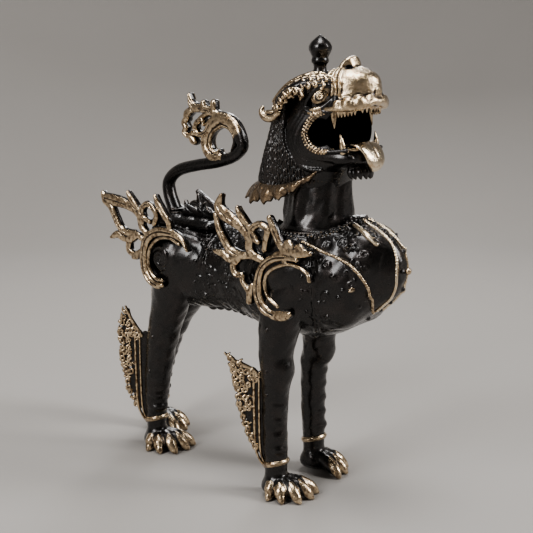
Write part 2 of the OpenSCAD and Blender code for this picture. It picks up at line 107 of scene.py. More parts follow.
def circle(centre, radius, count):
    """Points (x, y) round a circle, the last on the first."""
    return [(centre[0] + radius * math.cos(a), centre[1] + radius * math.sin(a))
            for a in np.linspace(0, 2 * math.pi, count)]


def spaced(path, gap):
    """Points along a path, one gap apart."""
    path = np.asarray(path, float)
    along = np.r_[0, np.cumsum(np.linalg.norm(np.diff(path[:, :3], axis=0), axis=1))]
    places = np.arange(0, along[-1], gap)
    return np.array([np.interp(places, along, column) for column in path.T]).T


# ------------------------------------------------------------------ clay

def slices(axes, low, high):
    """The part of a grid between two corners."""
    return tuple(slice(max(np.searchsorted(a, p) - 1, 0), np.searchsorted(a, q) + 1)
                 for a, p, q in zip(axes, low, high))


class Clay:
    """Distances to a skin on a grid, with how bare and golden the metal is at each point, and, below zero,
    where it is painted dark as shade.

    A shape is a pair: the part of the grid it is worked out on, and its distances there.
    """

    def __init__(self, low, high, step):
        step *= COARSE
        self.step = step
        self.axes = [np.arange(a, b + step, step, dtype=np.float32) for a, b in zip(low, high)]
        self.origin = np.array([a[0] for a in self.axes])
        self.skin = np.full([a.size for a in self.axes], FAR, np.float32)
        self.gold = np.zeros_like(self.skin)

    def window(self, low, high):
        part = slices(self.axes, low, high)
        x, y, z = (a[s] for a, s in zip(self.axes, part))
        return part, x[:, None, None], y[None, :, None], z[None, None, :]

    def everywhere(self):
        return self.window([a[0] for a in self.axes], [a[-1] for a in self.axes])

    # shapes
    def ball(self, centre, radii, turn=None, reach=4):
        """An ellipsoid; the rows of turn are the directions of its radii."""
        centre, radii = np.array(centre, float), np.array(radii, float) * np.ones(3)
        span = (radii if turn is None else radii.max()) + reach
        part, x, y, z = self.window(centre - span, centre + span)
        x, y, z = x - centre[0], y - centre[1], z - centre[2]
        if turn is not None:
            x, y, z = (t[0] * x + t[1] * y + t[2] * z for t in np.asarray(turn, np.float32))
        near = np.sqrt((x / radii[0]) ** 2 + (y / radii[1]) ** 2 + (z / radii[2]) ** 2)
        slope = np.sqrt((x / radii[0] ** 2) ** 2 + (y / radii[1] ** 2) ** 2 + (z / radii[2] ** 2) ** 2)
        return part, near * (near - 1) / np.maximum(slope, 1e-4)

    def rope(self, path, reach=3):
        """A round rope along [x, y, z, radius]."""
        path = np.asarray(path, np.float32)
        span = path[:, 3].max() + reach
        part, x, y, z = self.window(path[:, :3].min(0) - span, path[:, :3].max(0) + span)
        out = np.full((x.size, y.size, z.size), FAR, np.float32)
        for a, b in zip(path[:-1], path[1:]):
            step, low, high = b - a, np.minimum(a, b)[:3] - span, np.maximum(a, b)[:3] + span
            inner = slices((x.ravel(), y.ravel(), z.ravel()), low, high)
            px, py, pz = x[inner[0]] - a[0], y[:, inner[1]] - a[1], z[:, :, inner[2]] - a[2]
            square = max(float(step[:3] @ step[:3]), 1e-6)
            t = np.clip((px * step[0] + py * step[1] + pz * step[2]) / square, 0, 1)
            off = (px - t * step[0]) ** 2 + (py - t * step[1]) ** 2 + (pz - t * step[2]) ** 2
            np.minimum(out[inner], np.sqrt(off) - a[3] - t * step[3], out=out[inner])
        return part, out

    def loft(self, stations, axis, power=2.0, inset=0.0, reach=6):
        """A body along Y (axis 1) or Z (axis 2) through stations of
        [place, middle x, middle of the third axis, half width, half height]."""
        s = np.array(stations, float)
        s = s[np.argsort(s[:, 0])]
        low = [(s[:, 1] - s[:, 3]).min() - reach, 0, 0]
        high = [(s[:, 1] + s[:, 3]).max() + reach, 0, 0]
        other = 3 - axis
        low[axis], high[axis] = s[0, 0] - reach, s[-1, 0] + reach
        low[other], high[other] = (s[:, 2] - s[:, 4]).min() - reach, (s[:, 2] + s[:, 4]).max() + reach
        part, x, y, z = self.window(low, high)
        along, across = (y, z) if axis == 1 else (z, y)
        mid_x, mid_o, half_x, half_o = (np.interp(along, s[:, 0], s[:, k]).astype(np.float32)
                                        for k in (1, 2, 3, 4))
        half_x, half_o = np.maximum(half_x - inset, 0.5), np.maximum(half_o - inset, 0.5)
        dx, do = abs(x - mid_x) + 1e-3, abs(across - mid_o) + 1e-3
        near = ((dx / half_x) ** power + (do / half_o) ** power) ** (1 / power)
        out = np.sqrt(dx ** 2 + do ** 2) * (1 - 1 / np.maximum(near, 1e-3))
        ends = np.maximum(s[0, 0] + inset - along, along - s[-1, 0] + inset)
        return part, np.maximum(out, ends)

    def block(self, low, high, rounding=1.0, reach=3):
        """A box with round edges."""
        low, high = np.array(low, float), np.array(high, float)
        part, x, y, z = self.window(low - reach, high + reach)
        centre, half = (low + high) / 2, (high - low) / 2 - rounding
        q = [abs(a - c) - h for a, c, h in zip((x, y, z), centre, half)]
        outside = np.sqrt(sum(np.maximum(a, 0) ** 2 for a in q))
        return part, outside + np.minimum(np.maximum(np.maximum(q[0], q[1]), q[2]), 0) - rounding

    def drum(self, centre, radius, bottom, top, rounding=0.5, reach=3):
        """An upright cylinder; the radius may be a number or follow the height as (z, r) rows."""
        widest = np.max(np.array(radius)[:, 1]) if np.ndim(radius) else radius
        part, x, y, z = self.window((centre[0] - widest - reach, centre[1] - widest - reach,
                                     bottom - reach), (centre[0] + widest + reach,
                                                       centre[1] + widest + reach, top + reach))
        wide = np.interp(z, *np.array(radius, float).T) if np.ndim(radius) else radius
        side = np.sqrt((x - centre[0]) ** 2 + (y - centre[1]) ** 2) - wide + rounding
        ends = abs(z - (bottom + top) / 2) - (top - bottom) / 2 + rounding
        rim = np.sqrt(np.maximum(side, 0) ** 2 + np.maximum(ends, 0) ** 2)
        return part, (rim + np.minimum(np.maximum(side, ends), 0) - rounding).astype(np.float32)

    # ways to work them in
    def add(self, shape, blend=1.0, gold=None):
        """Joins a shape on, with a soft seam as wide as the blend."""
        part, new = shape
        old = self.skin[part]
        if gold is not None:
            share = np.clip(0.5 + (old - new) / (2 * blend), 0, 1)
            self.gold[part] += (gold - self.gold[part]) * share
        soft = np.maximum(blend - abs(old - new), 0)
        self.skin[part] = np.minimum(old, new) - soft ** 2 / (4 * blend)

    def add_ball(self, centre, radii, blend=1.0, gold=None):
        self.add(self.ball(centre, radii), blend, gold)

    def add_rope(self, path, blend=1.0, gold=None):
        self.add(self.rope(path), blend, gold)

    def cut(self, shape, blend=1.0, gold=None):
        """Takes a shape away."""
        part, new = shape
        old = self.skin[part]
        if gold is not None:
            self.gold[part] += (gold - self.gold[part]) * np.clip(0.5 - (new - 1) / 2, 0, 1)
        soft = np.maximum(blend - abs(old + new), 0)
        self.skin[part] = np.maximum(old, -new) + soft ** 2 / (4 * blend)

    def press(self, shape, depth, width):
        """Sinks the skin near a shape, or raises it where the depth is below zero."""
        part, new = shape
        share = np.clip(1 - np.maximum(new, 0) / width, 0, 1)
        self.skin[part] += depth * share * share * (3 - 2 * share)

    def press_rope(self, path, depth, width):
        self.press(self.rope(path), depth, width)

    def paint(self, shape, gold, width=1.5):
        """Colours the skin near a shape without moving it."""
        part, new = shape
        share = np.clip(1 - new / width, 0, 1)
        self.gold[part] += (gold - self.gold[part]) * share


def blurred(grid, radius):
    """The grid averaged over a small cube round each point."""
    for axis in range(3):
        pad = [(radius + 1, radius) if a == axis else (0, 0) for a in range(3)]
        total = np.cumsum(np.pad(grid, pad, mode="edge"), axis=axis, dtype=np.float32)
        ahead = [slice(None)] * 3
        behind = [slice(None)] * 3
        ahead[axis], behind[axis] = slice(2 * radius + 1, None), slice(None, -2 * radius - 1)
        grid = (total[tuple(ahead)] - total[tuple(behind)]) / (2 * radius + 1)
    return grid


def sampled(grid, places):
    """Values of the grid between its points."""
    top = np.array(grid.shape) - 2
    base = np.clip(np.floor(places).astype(int), 0, top)
    t = np.clip(places - base, 0, 1)
    total = 0
    for corner in np.ndindex(2, 2, 2):
        share = np.prod([t[:, k] if corner[k] else 1 - t[:, k] for k in range(3)], axis=0)
        total = total + share * grid[tuple((base + corner).T)]
    return total


def island_sizes(count, faces):
    """For each vertex, how many vertices hang together with it."""
    edges = np.vstack([faces[:, [0, 1]], faces[:, [1, 2]], faces[:, [2, 3]]])
    label = np.arange(count)
    while True:
        low = np.minimum(label[edges[:, 0]], label[edges[:, 1]])
        new = label.copy()
        np.minimum.at(new, edges[:, 0], low)
        np.minimum.at(new, edges[:, 1], low)
        new = new[new]
        if np.array_equal(new, label):
            return np.bincount(label, minlength=count)[label]
        label = new


def attribute(mesh, name, values):
    """Keeps a number for each vertex, which the materials read."""
    layer = mesh.attributes.new(name, "FLOAT", "POINT")
    layer.data.foreach_set("value", np.asarray(values, np.float32))


def piece_from(name, points, faces, gold, ridge):
    """A smooth mesh object from points in mm of the sculpting frame."""
    mesh = bpy.data.meshes.new(name)
    mesh.vertices.add(len(points))
    mesh.vertices.foreach_set("co", ((points + SHIFT) * MM).astype(np.float32).ravel())
    mesh.loops.add(faces.size)
    mesh.loops.foreach_set("vertex_index", faces.astype(np.int32).ravel())
    mesh.polygons.add(len(faces))
    mesh.polygons.foreach_set("loop_start", np.arange(0, faces.size, 4, dtype=np.int32))
    mesh.update(calc_edges=True)
    mesh.shade_smooth()
    attribute(mesh, "gold", gold)
    attribute(mesh, "ridge", ridge)
    obj = bpy.data.objects.new(name, mesh)
    bpy.context.scene.collection.objects.link(obj)
    return obj


def cast(clay, name, body, node, place=None, metal=None, crumbs=400):
    """Turns clay into the finished piece that stands for a CAD node."""
    limit = 3 * clay.step
    grid = openvdb.FloatGrid(limit)
    grid.copyFromArray(np.clip(clay.skin, -limit, limit))
    places, _, faces = grid.convertToPolygons(0.0, 0.0)
    whole = island_sizes(len(places), faces) > crumbs / COARSE ** 2
    faces = faces[whole[faces[:, 0]]][:, ::-1]
    keep = np.zeros(len(places), bool)
    keep[faces.ravel()] = True
    faces = (np.cumsum(keep) - 1)[faces]
    places = places[keep]
    gold = sampled(clay.gold, places)
    ridge = sampled(blurred(np.clip(clay.skin, -4, 4), max(1, round(1.6 / clay.step))), places)
    points = places * clay.step + clay.origin
    if place is not None:
        points = place(points)
    obj = piece_from(name, points, faces, gold, ridge)
    finish_piece(obj, body, node, metal)
    return obj


def finish_piece(obj, body, node, metal=None):
    """Gives a piece its metal and its body, and hides the CAD node that it stands for."""
    obj.data.materials.append(metal or METAL["bronze"])
    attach(obj, body)
    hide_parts(node)


# ------------------------------------------------------------------ materials

class Shader:
    """A node material; a socket given as a node takes that node's first output."""

    def __init__(self, name):
        self.material = bpy.data.materials.new(name)
        self.material.use_nodes = True
        self.tree = self.material.node_tree
        self.tree.nodes.clear()
        self.place = self.node("ShaderNodeTexCoord").outputs["Object"]

    def node(self, kind, sockets=None, **settings):
        made = self.tree.nodes.new(kind)
        for key, value in settings.items():
            setattr(made, key, value)
        for key, value in (sockets or {}).items():
            if isinstance(value, bpy.types.Node):
                value = value.outputs[0]
            if isinstance(value, bpy.types.NodeSocket):
                self.tree.links.new(value, made.inputs[key])
            else:
                made.inputs[key].default_value = value
        return made

    def math(self, operation, a, b=0.0, c=0.0):
        return self.node("ShaderNodeMath", {0: a, 1: b, 2: c}, operation=operation)

    def step(self, value, low, high, to_low=0.0, to_high=1.0):
        """A smooth step from one value to another."""
        return self.node("ShaderNodeMapRange", {"Value": value, "From Min": low, "From Max": high,
                                                "To Min": to_low, "To Max": to_high},
                         interpolation_type="SMOOTHSTEP")

    def mix(self, share, a, b):
        """A blend of two colours."""
        made = self.node("ShaderNodeMix", data_type="RGBA")
        for key, value in ((0, share), (6, a), (7, b)):
            if isinstance(value, bpy.types.Node):
                value = value.outputs[2] if value.bl_idname == "ShaderNodeMix" else value.outputs[0]
                self.tree.links.new(value, made.inputs[key])
            elif isinstance(value, bpy.types.NodeSocket):
                self.tree.links.new(value, made.inputs[key])
            else:
                made.inputs[key].default_value = (*value, 1) if key else value
        return made

    def noise(self, scale, detail=4.0, roughness=0.55, place=None):
        return self.node("ShaderNodeTexNoise", {"Vector": place or self.place, "Scale": scale,
                                                "Detail": detail, "Roughness": roughness})

    def attribute(self, name):
        return self.node("ShaderNodeAttribute", attribute_name=name).outputs["Fac"]


def cast_metal(name, bare=(0.80, 0.63, 0.42), shade=(0.20, 0.128, 0.068), brushed=None, polish=0.09):
    """Cast brass with a black lacquered patina, rubbed back to bare metal where it is golden, and painted
    shade, near black and matte, where gold is below zero.
    """
    s = Shader(name)
    gold, ridge = s.attribute("gold"), s.attribute("ridge")
    broad, middling, fine = s.noise(55, 5), s.noise(230, 5, 0.6), s.noise(1300, 3, 0.6)
    edge = s.math("MULTIPLY_ADD", middling, 0.55, s.math("MULTIPLY_ADD", ridge, 0.18, gold))
    mask = s.step(edge, 0.66, 0.98)
    sunk = s.step(s.math("MULTIPLY_ADD", middling, 0.5, s.math("MULTIPLY", ridge, -1.0)), 0.16, 0.62)
    rubbed = s.step(s.math("MULTIPLY_ADD", middling, 0.6, ridge), 0.60, 1.10)

    brass = s.mix(s.step(broad, 0.36, 0.66), bare, tuple(0.78 * c for c in bare))
    brass = s.mix(s.step(middling, 0.44, 0.64), brass, shade)
    brass = s.mix(sunk, brass, (0.030, 0.016, 0.008))
    black = s.mix(s.step(broad, 0.4, 0.7), (0.015, 0.0135, 0.013), (0.028, 0.022, 0.020))
    black = s.mix(s.math("MULTIPLY", rubbed, 0.24), black, (0.17, 0.12, 0.08))
    # painted shade: where gold is below zero, in the hollows of the mouth and nose, the black turns near
    # black
    black = s.mix(s.step(gold, -0.2, -0.8), black, (0.002, 0.002, 0.002))

    dull = s.step(gold, -0.2, -0.8, 0.0, 0.5)      # the insides don't shine
    dark_rough = s.math("ADD", s.step(middling, 0.3, 0.75, 0.22, 0.42), dull)
    rough = s.mix(mask, dark_rough, s.step(middling, 0.3, 0.75, 0.21 - polish, 0.42 - polish))
    height = s.math("MULTIPLY_ADD", fine, 0.35, middling)
    if brushed:
        streaks = s.node("ShaderNodeMapping", {"Vector": s.place, "Scale": brushed})
        height = s.math("MULTIPLY_ADD", s.noise(500, 3, 0.6, streaks.outputs[0]), 0.8, height)
    pits = s.node("ShaderNodeTexVoronoi", {"Vector": s.place, "Scale": 420.0, "Randomness": 1.0})
    height = s.math("ADD", height, s.step(pits.outputs["Distance"], 0.0, 0.16, -0.5, 0.0))
    bump = s.node("ShaderNodeBump", {"Strength": 0.40, "Distance": 0.0010, "Height": height})
    shader = s.node("ShaderNodeBsdfPrincipled", {
        "Base Color": s_out(s.mix(mask, black, brass)), "Metallic": 1.0, "Roughness": s_out(rough),
        "Normal": bump.outputs[0], "Coat Roughness": 0.24, "Coat IOR": 1.65,
        "Coat Weight": s.step(gold, -0.8, -0.2, 0.0, 0.68)})
    s.node("ShaderNodeOutputMaterial", {"Surface": shader.outputs[0]})
    return s.material


def s_out(mix):
    """The colour that comes out of a blend."""
    return mix.outputs[2]


METAL = {
    "bronze": cast_metal("bronze_patina"),
    "snout": cast_metal("bronze_brushed", bare=(0.78, 0.62, 0.42), shade=(0.46, 0.34, 0.20),
                        brushed=(0.25, 1.0, 3.0), polish=0.08),
    "tongue": cast_metal("bronze_polished", bare=(0.93, 0.80, 0.60), shade=(0.66, 0.50, 0.32), polish=0.10),
    "brown": cast_metal("bronze_brown", bare=(0.40, 0.29, 0.18), shade=(0.15, 0.095, 0.05), polish=0.0),
}


# ------------------------------------------------------------------ torso

# [y, x, z, half width, half height] from rump to chest
TORSO = spline([
    (222, 2, 249, 8, 14), (218, 2, 247, 26, 30), (204, 2, 243, 40, 44), (182, 1, 241, 48, 50),
    (162, 0, 240, 49, 52), (132, 0, 241, 45, 51), (100, 0, 242, 40, 49), (62, 0, 241, 43, 52),
    (32, 0, 240, 51, 57), (0, 0, 242, 55, 59), (-34, 0, 245, 54, 62), (-66, 0, 254, 47, 62),
    (-95, 0, 264, 38, 53), (-118, 0, 268, 27, 40), (-134, 0, 269, 16, 26), (-141, 0, 269, 7, 11)], 4)


# the run of a beaded strap on the right flank and of the collar's front: (y, angle)
STRAP = [(-47, 142), (-78, 155), (-92, 163), (-104, 171), (-111, 181), (-115, 193), (-117, 208),
         (-117, 225), (-110, 256)]


def torso_at(y):
    """Middle x, middle z, half width and half height of the body at a place along it."""
    rows = TORSO[::-1]
    return [np.interp(y, rows[:, 0], rows[:, k]) for k in (1, 2, 3, 4)]


def on_torso(y, angle, out=0.0):
    """A point on the body: the angle is 0 on the left flank, 90 on top and 180 on the right."""
    x, z, wide, high = torso_at(y)
    a = np.radians(angle)
    return np.array([x + (wide + out) * np.cos(a), y, z + (high + out) * np.sin(a)])


def on_skin(clay, y, angle, out=0.0):
    """The same point, but on the skin of finished clay, whatever was added to it."""
    x, z = torso_at(y)[:2]
    point = on_torso(y, angle)
    way = point - (x, y, z)
    way /= np.linalg.norm(way)
    marks = np.arange(-12, 16, 0.5)
    depth = sampled(clay.skin, (point + way * marks[:, None] - clay.origin) / clay.step)
    under = np.nonzero(depth < 0)[0]
    if under.size:
        last = under[-1]
        point = point + way * (marks[last] + min(-depth[last], 0.5))
    return point + way * out


def body_path(clay, points, radius, steps=5, out=0.0):
    """A rope on the clay's skin through (y, angle) points."""
    return [(*on_skin(clay, y, a, out), radius) for y, a in spline(points, steps)]


def curl(clay, y, angle, size, turns=1.4, hand=1, radius=1.3, start=0.0):
    """A spiral lying on the clay, thick outside and thin at its heart."""
    rows = []
    for t in np.linspace(0, 1, 20):
        reach, a = size * (1 - 0.82 * t), start + hand * 2 * math.pi * turns * t
        around = np.degrees(reach * np.sin(a) / torso_at(y)[3])
        rows.append((*on_skin(clay, y + reach * np.cos(a), angle + around, 0.3), radius * (1 - 0.35 * t)))
    return rows


def relief_spots(rng, count, reach):
    """Places [y, angle, size] for curls on the left of the body, clear of each other and of the legs."""
    spots = []
    while len(spots) < count:
        y, deg = rng.uniform(-124, 205), rng.uniform(-38, 84)
        near = [abs(y - a) + abs(deg - b) * 0.9 < reach for a, b, _ in spots]
        if not any(near) and not (-50 < y < 8 and deg < 55) and not (118 < y and deg < 50):
            spots.append((y, deg, rng.uniform(3.4, 5.6)))
    return spots


def torso():
    """The hollow body with its curls, beaded bands, wrinkles, neck seat and hatch."""
    clay = Clay((-66, -160, 176), (66, 234, 322), 1.15)
    clay.add(clay.loft(TORSO, 1))
    clay.add(clay.drum(NECK, 52, 262, SEAT + 1.5, 4), 16)
    for side in (-1, 1):
        clay.add_ball((side * 33, -18, 262), (26, 40, 36), 18)
        clay.add_ball((side * 27, 158, 252), (24, 36, 36), 14)
        clay.add_ball((side * 22, -78, 243), (22, 30, 40), 14)
        clay.add_ball((side * 16, -100, 276), (17, 22, 24), 14)
        clay.add_ball((2 + side * 14, 198, 246), (22, 24, 32), 12)
    rng = np.random.default_rng(7)
    for y, deg, size in relief_spots(rng, 84, 12):
        turns, hand, start = rng.uniform(0.9, 1.5), rng.choice((-1, 1)), rng.uniform(0, 6.3)
        for side in (-1, 1):
            angle = 90 - side * (90 - deg)
            clay.add_rope(curl(clay, y, angle, size, turns, hand * side, 1.5, start), 1.2, 0.2)
            clay.add_ball(on_skin(clay, y + size + 3.0, angle + 5 * hand, 0.4), 1.9, 1.0, 0.2)
    for side in (-1, 1):
        def lift(deg):
            return 90 - side * (90 - deg)

        for deg, drop in ((60, 0), (52, 1), (45, 2)):
            rows = [(200 - drop * 4, lift(deg - 8)), (168, lift(deg)), (130, lift(deg)),
                    (92, lift(deg - 2))]
            clay.add_rope(body_path(clay, rows, 1.3), 1.6)
        for y in (64, 78, 108):
            rows = [(y - 4, lift(62)), (y, lift(30)), (y + 1, lift(0)), (y - 2, lift(-40)),
                    (y - 8, lift(-70))]
            clay.add_rope(body_path(clay, rows, 1.2), 1.2)
        belt = [(67, lift(62)), (71, lift(30)), (72, lift(0)), (69, lift(-40)), (63, lift(-70))]
        beads(clay, body_path(clay, belt, 1), 5.2, 2.1, 0.15)
        for rows in ([(-50, lift(50)), (-57, lift(28)), (-61, lift(2)), (-58, lift(-30)), (-46, lift(-62))],
                     [(-53, lift(48)), (-61, lift(26)), (-65, lift(2)), (-62, lift(-30)),
                      (-50, lift(-62))]):
            clay.add_rope(body_path(clay, rows, 1.5), 1.2)
        for k in range(10):
            y = 146 - 12 * k
            fold = [(*on_skin(clay, y, lift(-50)), 0.6), (*on_skin(clay, y - 5, lift(-84)), 0.6)]
            clay.press_rope(fold, 1.4, 2.8)
        strap = body_path(clay, [(y, lift(180 - a)) for y, a in STRAP], 1.4)
        for shift in (-4.2, 4.0):
            clay.press_rope([(p[0], p[1] + shift, p[2], 0.5) for p in strap], 0.9, 2.0)
        clay.add_rope([(p[0], p[1] + 4.6, p[2], 1.2) for p in strap[:-6]], 1.2)
        for y, deg in ((-102, 165), (-84, 178), (-90, 200), (-75, 215), (-100, 150)):
            clay.add_ball(on_skin(clay, y, lift(180 - deg), 0.2), 2.6, 1.2, 0.3)
    for k in range(13):
        y = 132 - 13 * k
        clay.add_ball((0, y, torso_at(y)[1] - torso_at(y)[3] - 0.5), (5, 6, 4), 3)
    for angle, y in ((90, -104), (90, -116), (90, -127), (60, -136), (-60, -136), (-90, -126), (-90, -114),
                     (-90, -98)):
        clay.add_ball(on_skin(clay, y, angle, 0.6), 2.6, 1.2, 0.2)
    for x, y, z in ((-6, -80, 320), (6, -84, 320), (0, -87, 321), (0, -78, 322)):
        clay.add_ball((x, y, z), (5.4, 5.4, 4.8), 1.0)
    # hand-worked unevenness, the hollow, the seat of the neck and the opening under the back plate
    part, x, y, z = clay.everywhere()
    clay.skin[part] += worked(x, y, z)
    clay.cut(clay.loft(TORSO, 1, inset=4.6), 2)
    clay.add(clay.drum(NECK, 50, SEAT - 5, SEAT, 0.5), 1.5)
    clay.add(clay.block((-30, HATCH[1] - 48, HATCH[2] - 19), (30, HATCH[1] + 48, HATCH[2] - 5), 3), 1.5)
    clay.cut(clay.drum(NECK, 47.5, SEAT, SEAT + 40, 0.5), 0.8)
    clay.cut(clay.drum(NECK, 26.6, SEAT - 60, SEAT + 20, 0.5), 1)
    clay.cut(clay.block((-25, HATCH[1] - 43, HATCH[2] - 60), (25, HATCH[1] + 43, HATCH[2] + 40), 8), 1)
    cast(clay, "torso_casting", "body", "torso_shell")
    return clay


def worked(x, y, z, depth=0.28):
    """The soft unevenness of wax smoothed by hand."""
    waves = np.sin(x / 4.3 + y / 6.1 + 1) * np.sin(z / 5.2 - y / 7.9)
    ripples = 0.7 * np.sin(x / 2.6 - z / 3.1) * np.sin(y / 3.3 + z / 8)
    return (depth * (waves + ripples)).astype(np.float32)


# ------------------------------------------------------------------ legs

# each toe: its angle from straight ahead in degrees, its reach and its thickness
TOES = ((-41, 47, 7.6), (-19, 44, 8.0), (8, 40, 8.0), (37, 31, 7.4), (74, 23, 6.8))


def leg_stations(leg):
    """[z, x, y, half width, half depth] from the foot up to where the limb ends in the body."""
    x, y, _ = ANKLES[leg]
    side = np.sign(x)
    if leg.startswith("front"):
        return spline([(10, x, y - 2, 13, 13), (24, x, y, 12.5, 12.5), (40, x, y, 13, 13),
                       (60, x, y + 1, 13.5, 14), (88, x, y + 2, 14, 14.5), (118, x, y + 1, 15, 15.5),
                       (134, x, y, 16.5, 17), (150, x, lerp(y, 0, 0.3) - 2, 18, 19),
                       (168, lerp(x, side * 41, 0.3), lerp(y, 0, 0.5) - 2, 19, 20),
                       (204, side * 40, -10, 23, 26), (238, side * 38, -20, 22, 33),
                       (268, side * 35, -24, 17, 26), (286, side * 30, -24, 8, 12)], 5)
    hip = 168 + (HIP_SETBACK if side > 0 else 0)
    thigh = side * 27
    return spline([(10, x, y - 2, 12.5, 12.5), (24, x, y, 12, 12), (40, x, y, 12.5, 12.5),
                   (62, lerp(x, thigh, 0.1), y - 1, 14, 14.5),
                   (95, lerp(x, thigh, 0.3), lerp(y, hip, 0.12), 16, 17),
                   (120, lerp(x, thigh, 0.45), lerp(y, hip, 0.24), 17, 18.5),
                   (145, lerp(x, thigh, 0.6), lerp(y, hip, 0.36), 18.5, 20),
                   (195, side * 28, lerp(y, hip, 0.8), 21.5, 26), (228, side * 30, hip - 2, 22, 31),
                   (256, side * 28, hip - 4, 19, 27), (274, side * 22, hip - 6, 9, 14)], 5)


def leg(name):
    """A leg with its paw, shin rings, tendon and the boss inside the scroll."""
    x, y, _ = ANKLES[name]
    side, front = np.sign(x), name.startswith("front")
    rows = leg_stations(name)
    low = (min(x, side * 30) - 54, min(y, rows[:, 2].min() - 30) - 50, -2)
    high = (max(x, side * 30) + 54, max(y, rows[:, 2].max() + 30) + 16, 290)
    clay = Clay(low, high, 0.9)
    clay.add(clay.loft(rows, 2))

    def at(z):
        """Middle x, middle y and half width at a height."""
        return [np.interp(z, rows[:, 0], rows[:, k]) for k in (1, 2, 3)]

    # muscle rings down the shin, which swell to the front
    for k in range(7 if front else 8):
        z = 56 + 17 * k
        size = 10.5 if front else 12
        clay.add_ball((at(z)[0] + side * 2, at(z)[1] - 6, z), (size, size - 1, 6.5), 3.0)
    knee_z = 148
    clay.add_ball((at(knee_z)[0], at(knee_z)[1] - 8, knee_z), (12, 12, 14), 8)
    # the long tendon behind
    tendon = [(at(z)[0], at(z)[1] + 10 + (z > 150) * 3, z, 4) for z in (30, 70, 120, 165, 200)]
    clay.add_rope(spline(tendon), 5)
    # round boss framed by the scroll on the shoulder or hip
    hip_y = HIP[0] + (HIP_SETBACK if side > 0 else 0)
    boss = (side * 38, *SHOULDER) if front else (side * 36, hip_y, HIP[1])
    deep, round_r = 20, 31
    clay.add_ball(boss, (deep, round_r, round_r), 5)
    for turn, size in ((0.0, 17), (2.1, 11), (4.2, 13)):
        spiral = []
        for t in np.linspace(0, 1, 22):
            a, reach = turn + 7.5 * t, size * (1 - 0.8 * t)
            dy, dz = reach * math.cos(a), reach * math.sin(a)
            rise = side * deep * math.sqrt(max(0, 1 - (dy ** 2 + dz ** 2) / round_r ** 2))
            spiral.append((boss[0] + rise, boss[1] + dy, boss[2] + dz, 1.5 - 0.5 * t))
        clay.add_rope(spiral, 1.6)
    for z in (120, 148, 196) if front else (104, 150):
        clay.add_ball((at(z)[0] + side * at(z)[2], at(z)[1], z), 2.2, 1.2, 0.2)
    paw(clay, x, y, side)
    clay.cut(clay.block((-200, -300, -40), (200, 400, 0.2), 0.1), 0.6)
    part, gx, gy, gz = clay.everywhere()
    clay.skin[part] += worked(gx, gy, gz) * (gz > 44)
    end, word = name.split("_")
    cast(clay, name + "_leg", "body", f"{end}_leg_{word}")


def paw(clay, x, y, side):
    """Five toes with gold ridges, spread from under the ankle."""
    heading = 0 if side < 0 else -30
    clay.add_ball((x, y - 4, 14), (16, 17, 13), 6)
    clay.add_ball((x, y + 6, 10), (13, 11, 10), 5)
    for angle, reach, size in TOES:
        a = math.radians(heading - side * angle)

        def at(reach_out, z, thick):
            return x - math.sin(a) * reach_out, y - math.cos(a) * reach_out, z, thick

        toe = spline([at(4, 19, size), at(reach * 0.42, 16.5, size), at(reach * 0.68, 12, size),
                      at(reach - 7.5, 8.5, 6.4), at(reach - 3, 4.4, 4.4)], 5)
        clay.add_rope(toe, 1.2)
        ridge = [(*p[:2], p[2] + p[3] * 0.8, 2.4) for p in toe[8:]]
        clay.add_rope(ridge, 2.6)
        shine = [(*p[:2], p[2], 1.4 + min(4.6, 0.8 * k)) for k, p in enumerate(ridge)]
        clay.paint(clay.rope(shine), 1.05, 2.6)
        nail = [at(reach - 8, 9.0, 4.2), at(reach - 3, 6.0, 4.0), at(reach, 2.8, 2.4)]
        clay.add_rope(nail, 0.8, 1.0)


def anklet(name):
    """Three gold rings round an ankle, tilted down to the heel."""
    x, y, z = ANKLES[name]
    clay = Clay((x - 22, y - 22, z - 8), (x + 22, y + 22, z + 9), 0.55)
    for height, radius, size in ((-1.6, 13.7, 1.1), (0.6, 14.0, 1.7), (2.6, 13.5, 0.9)):
        ring = [(x + radius * math.cos(a), y + radius * math.sin(a), z + height - 3.4 * math.sin(a), size)
                for a in np.linspace(0, 2 * math.pi, 60)]
        clay.add_rope(ring, 0.8, 1.0)
    cast(clay, "ankle_ring_" + name, "body", "anklet_" + name)


# ------------------------------------------------------------------ flat castings

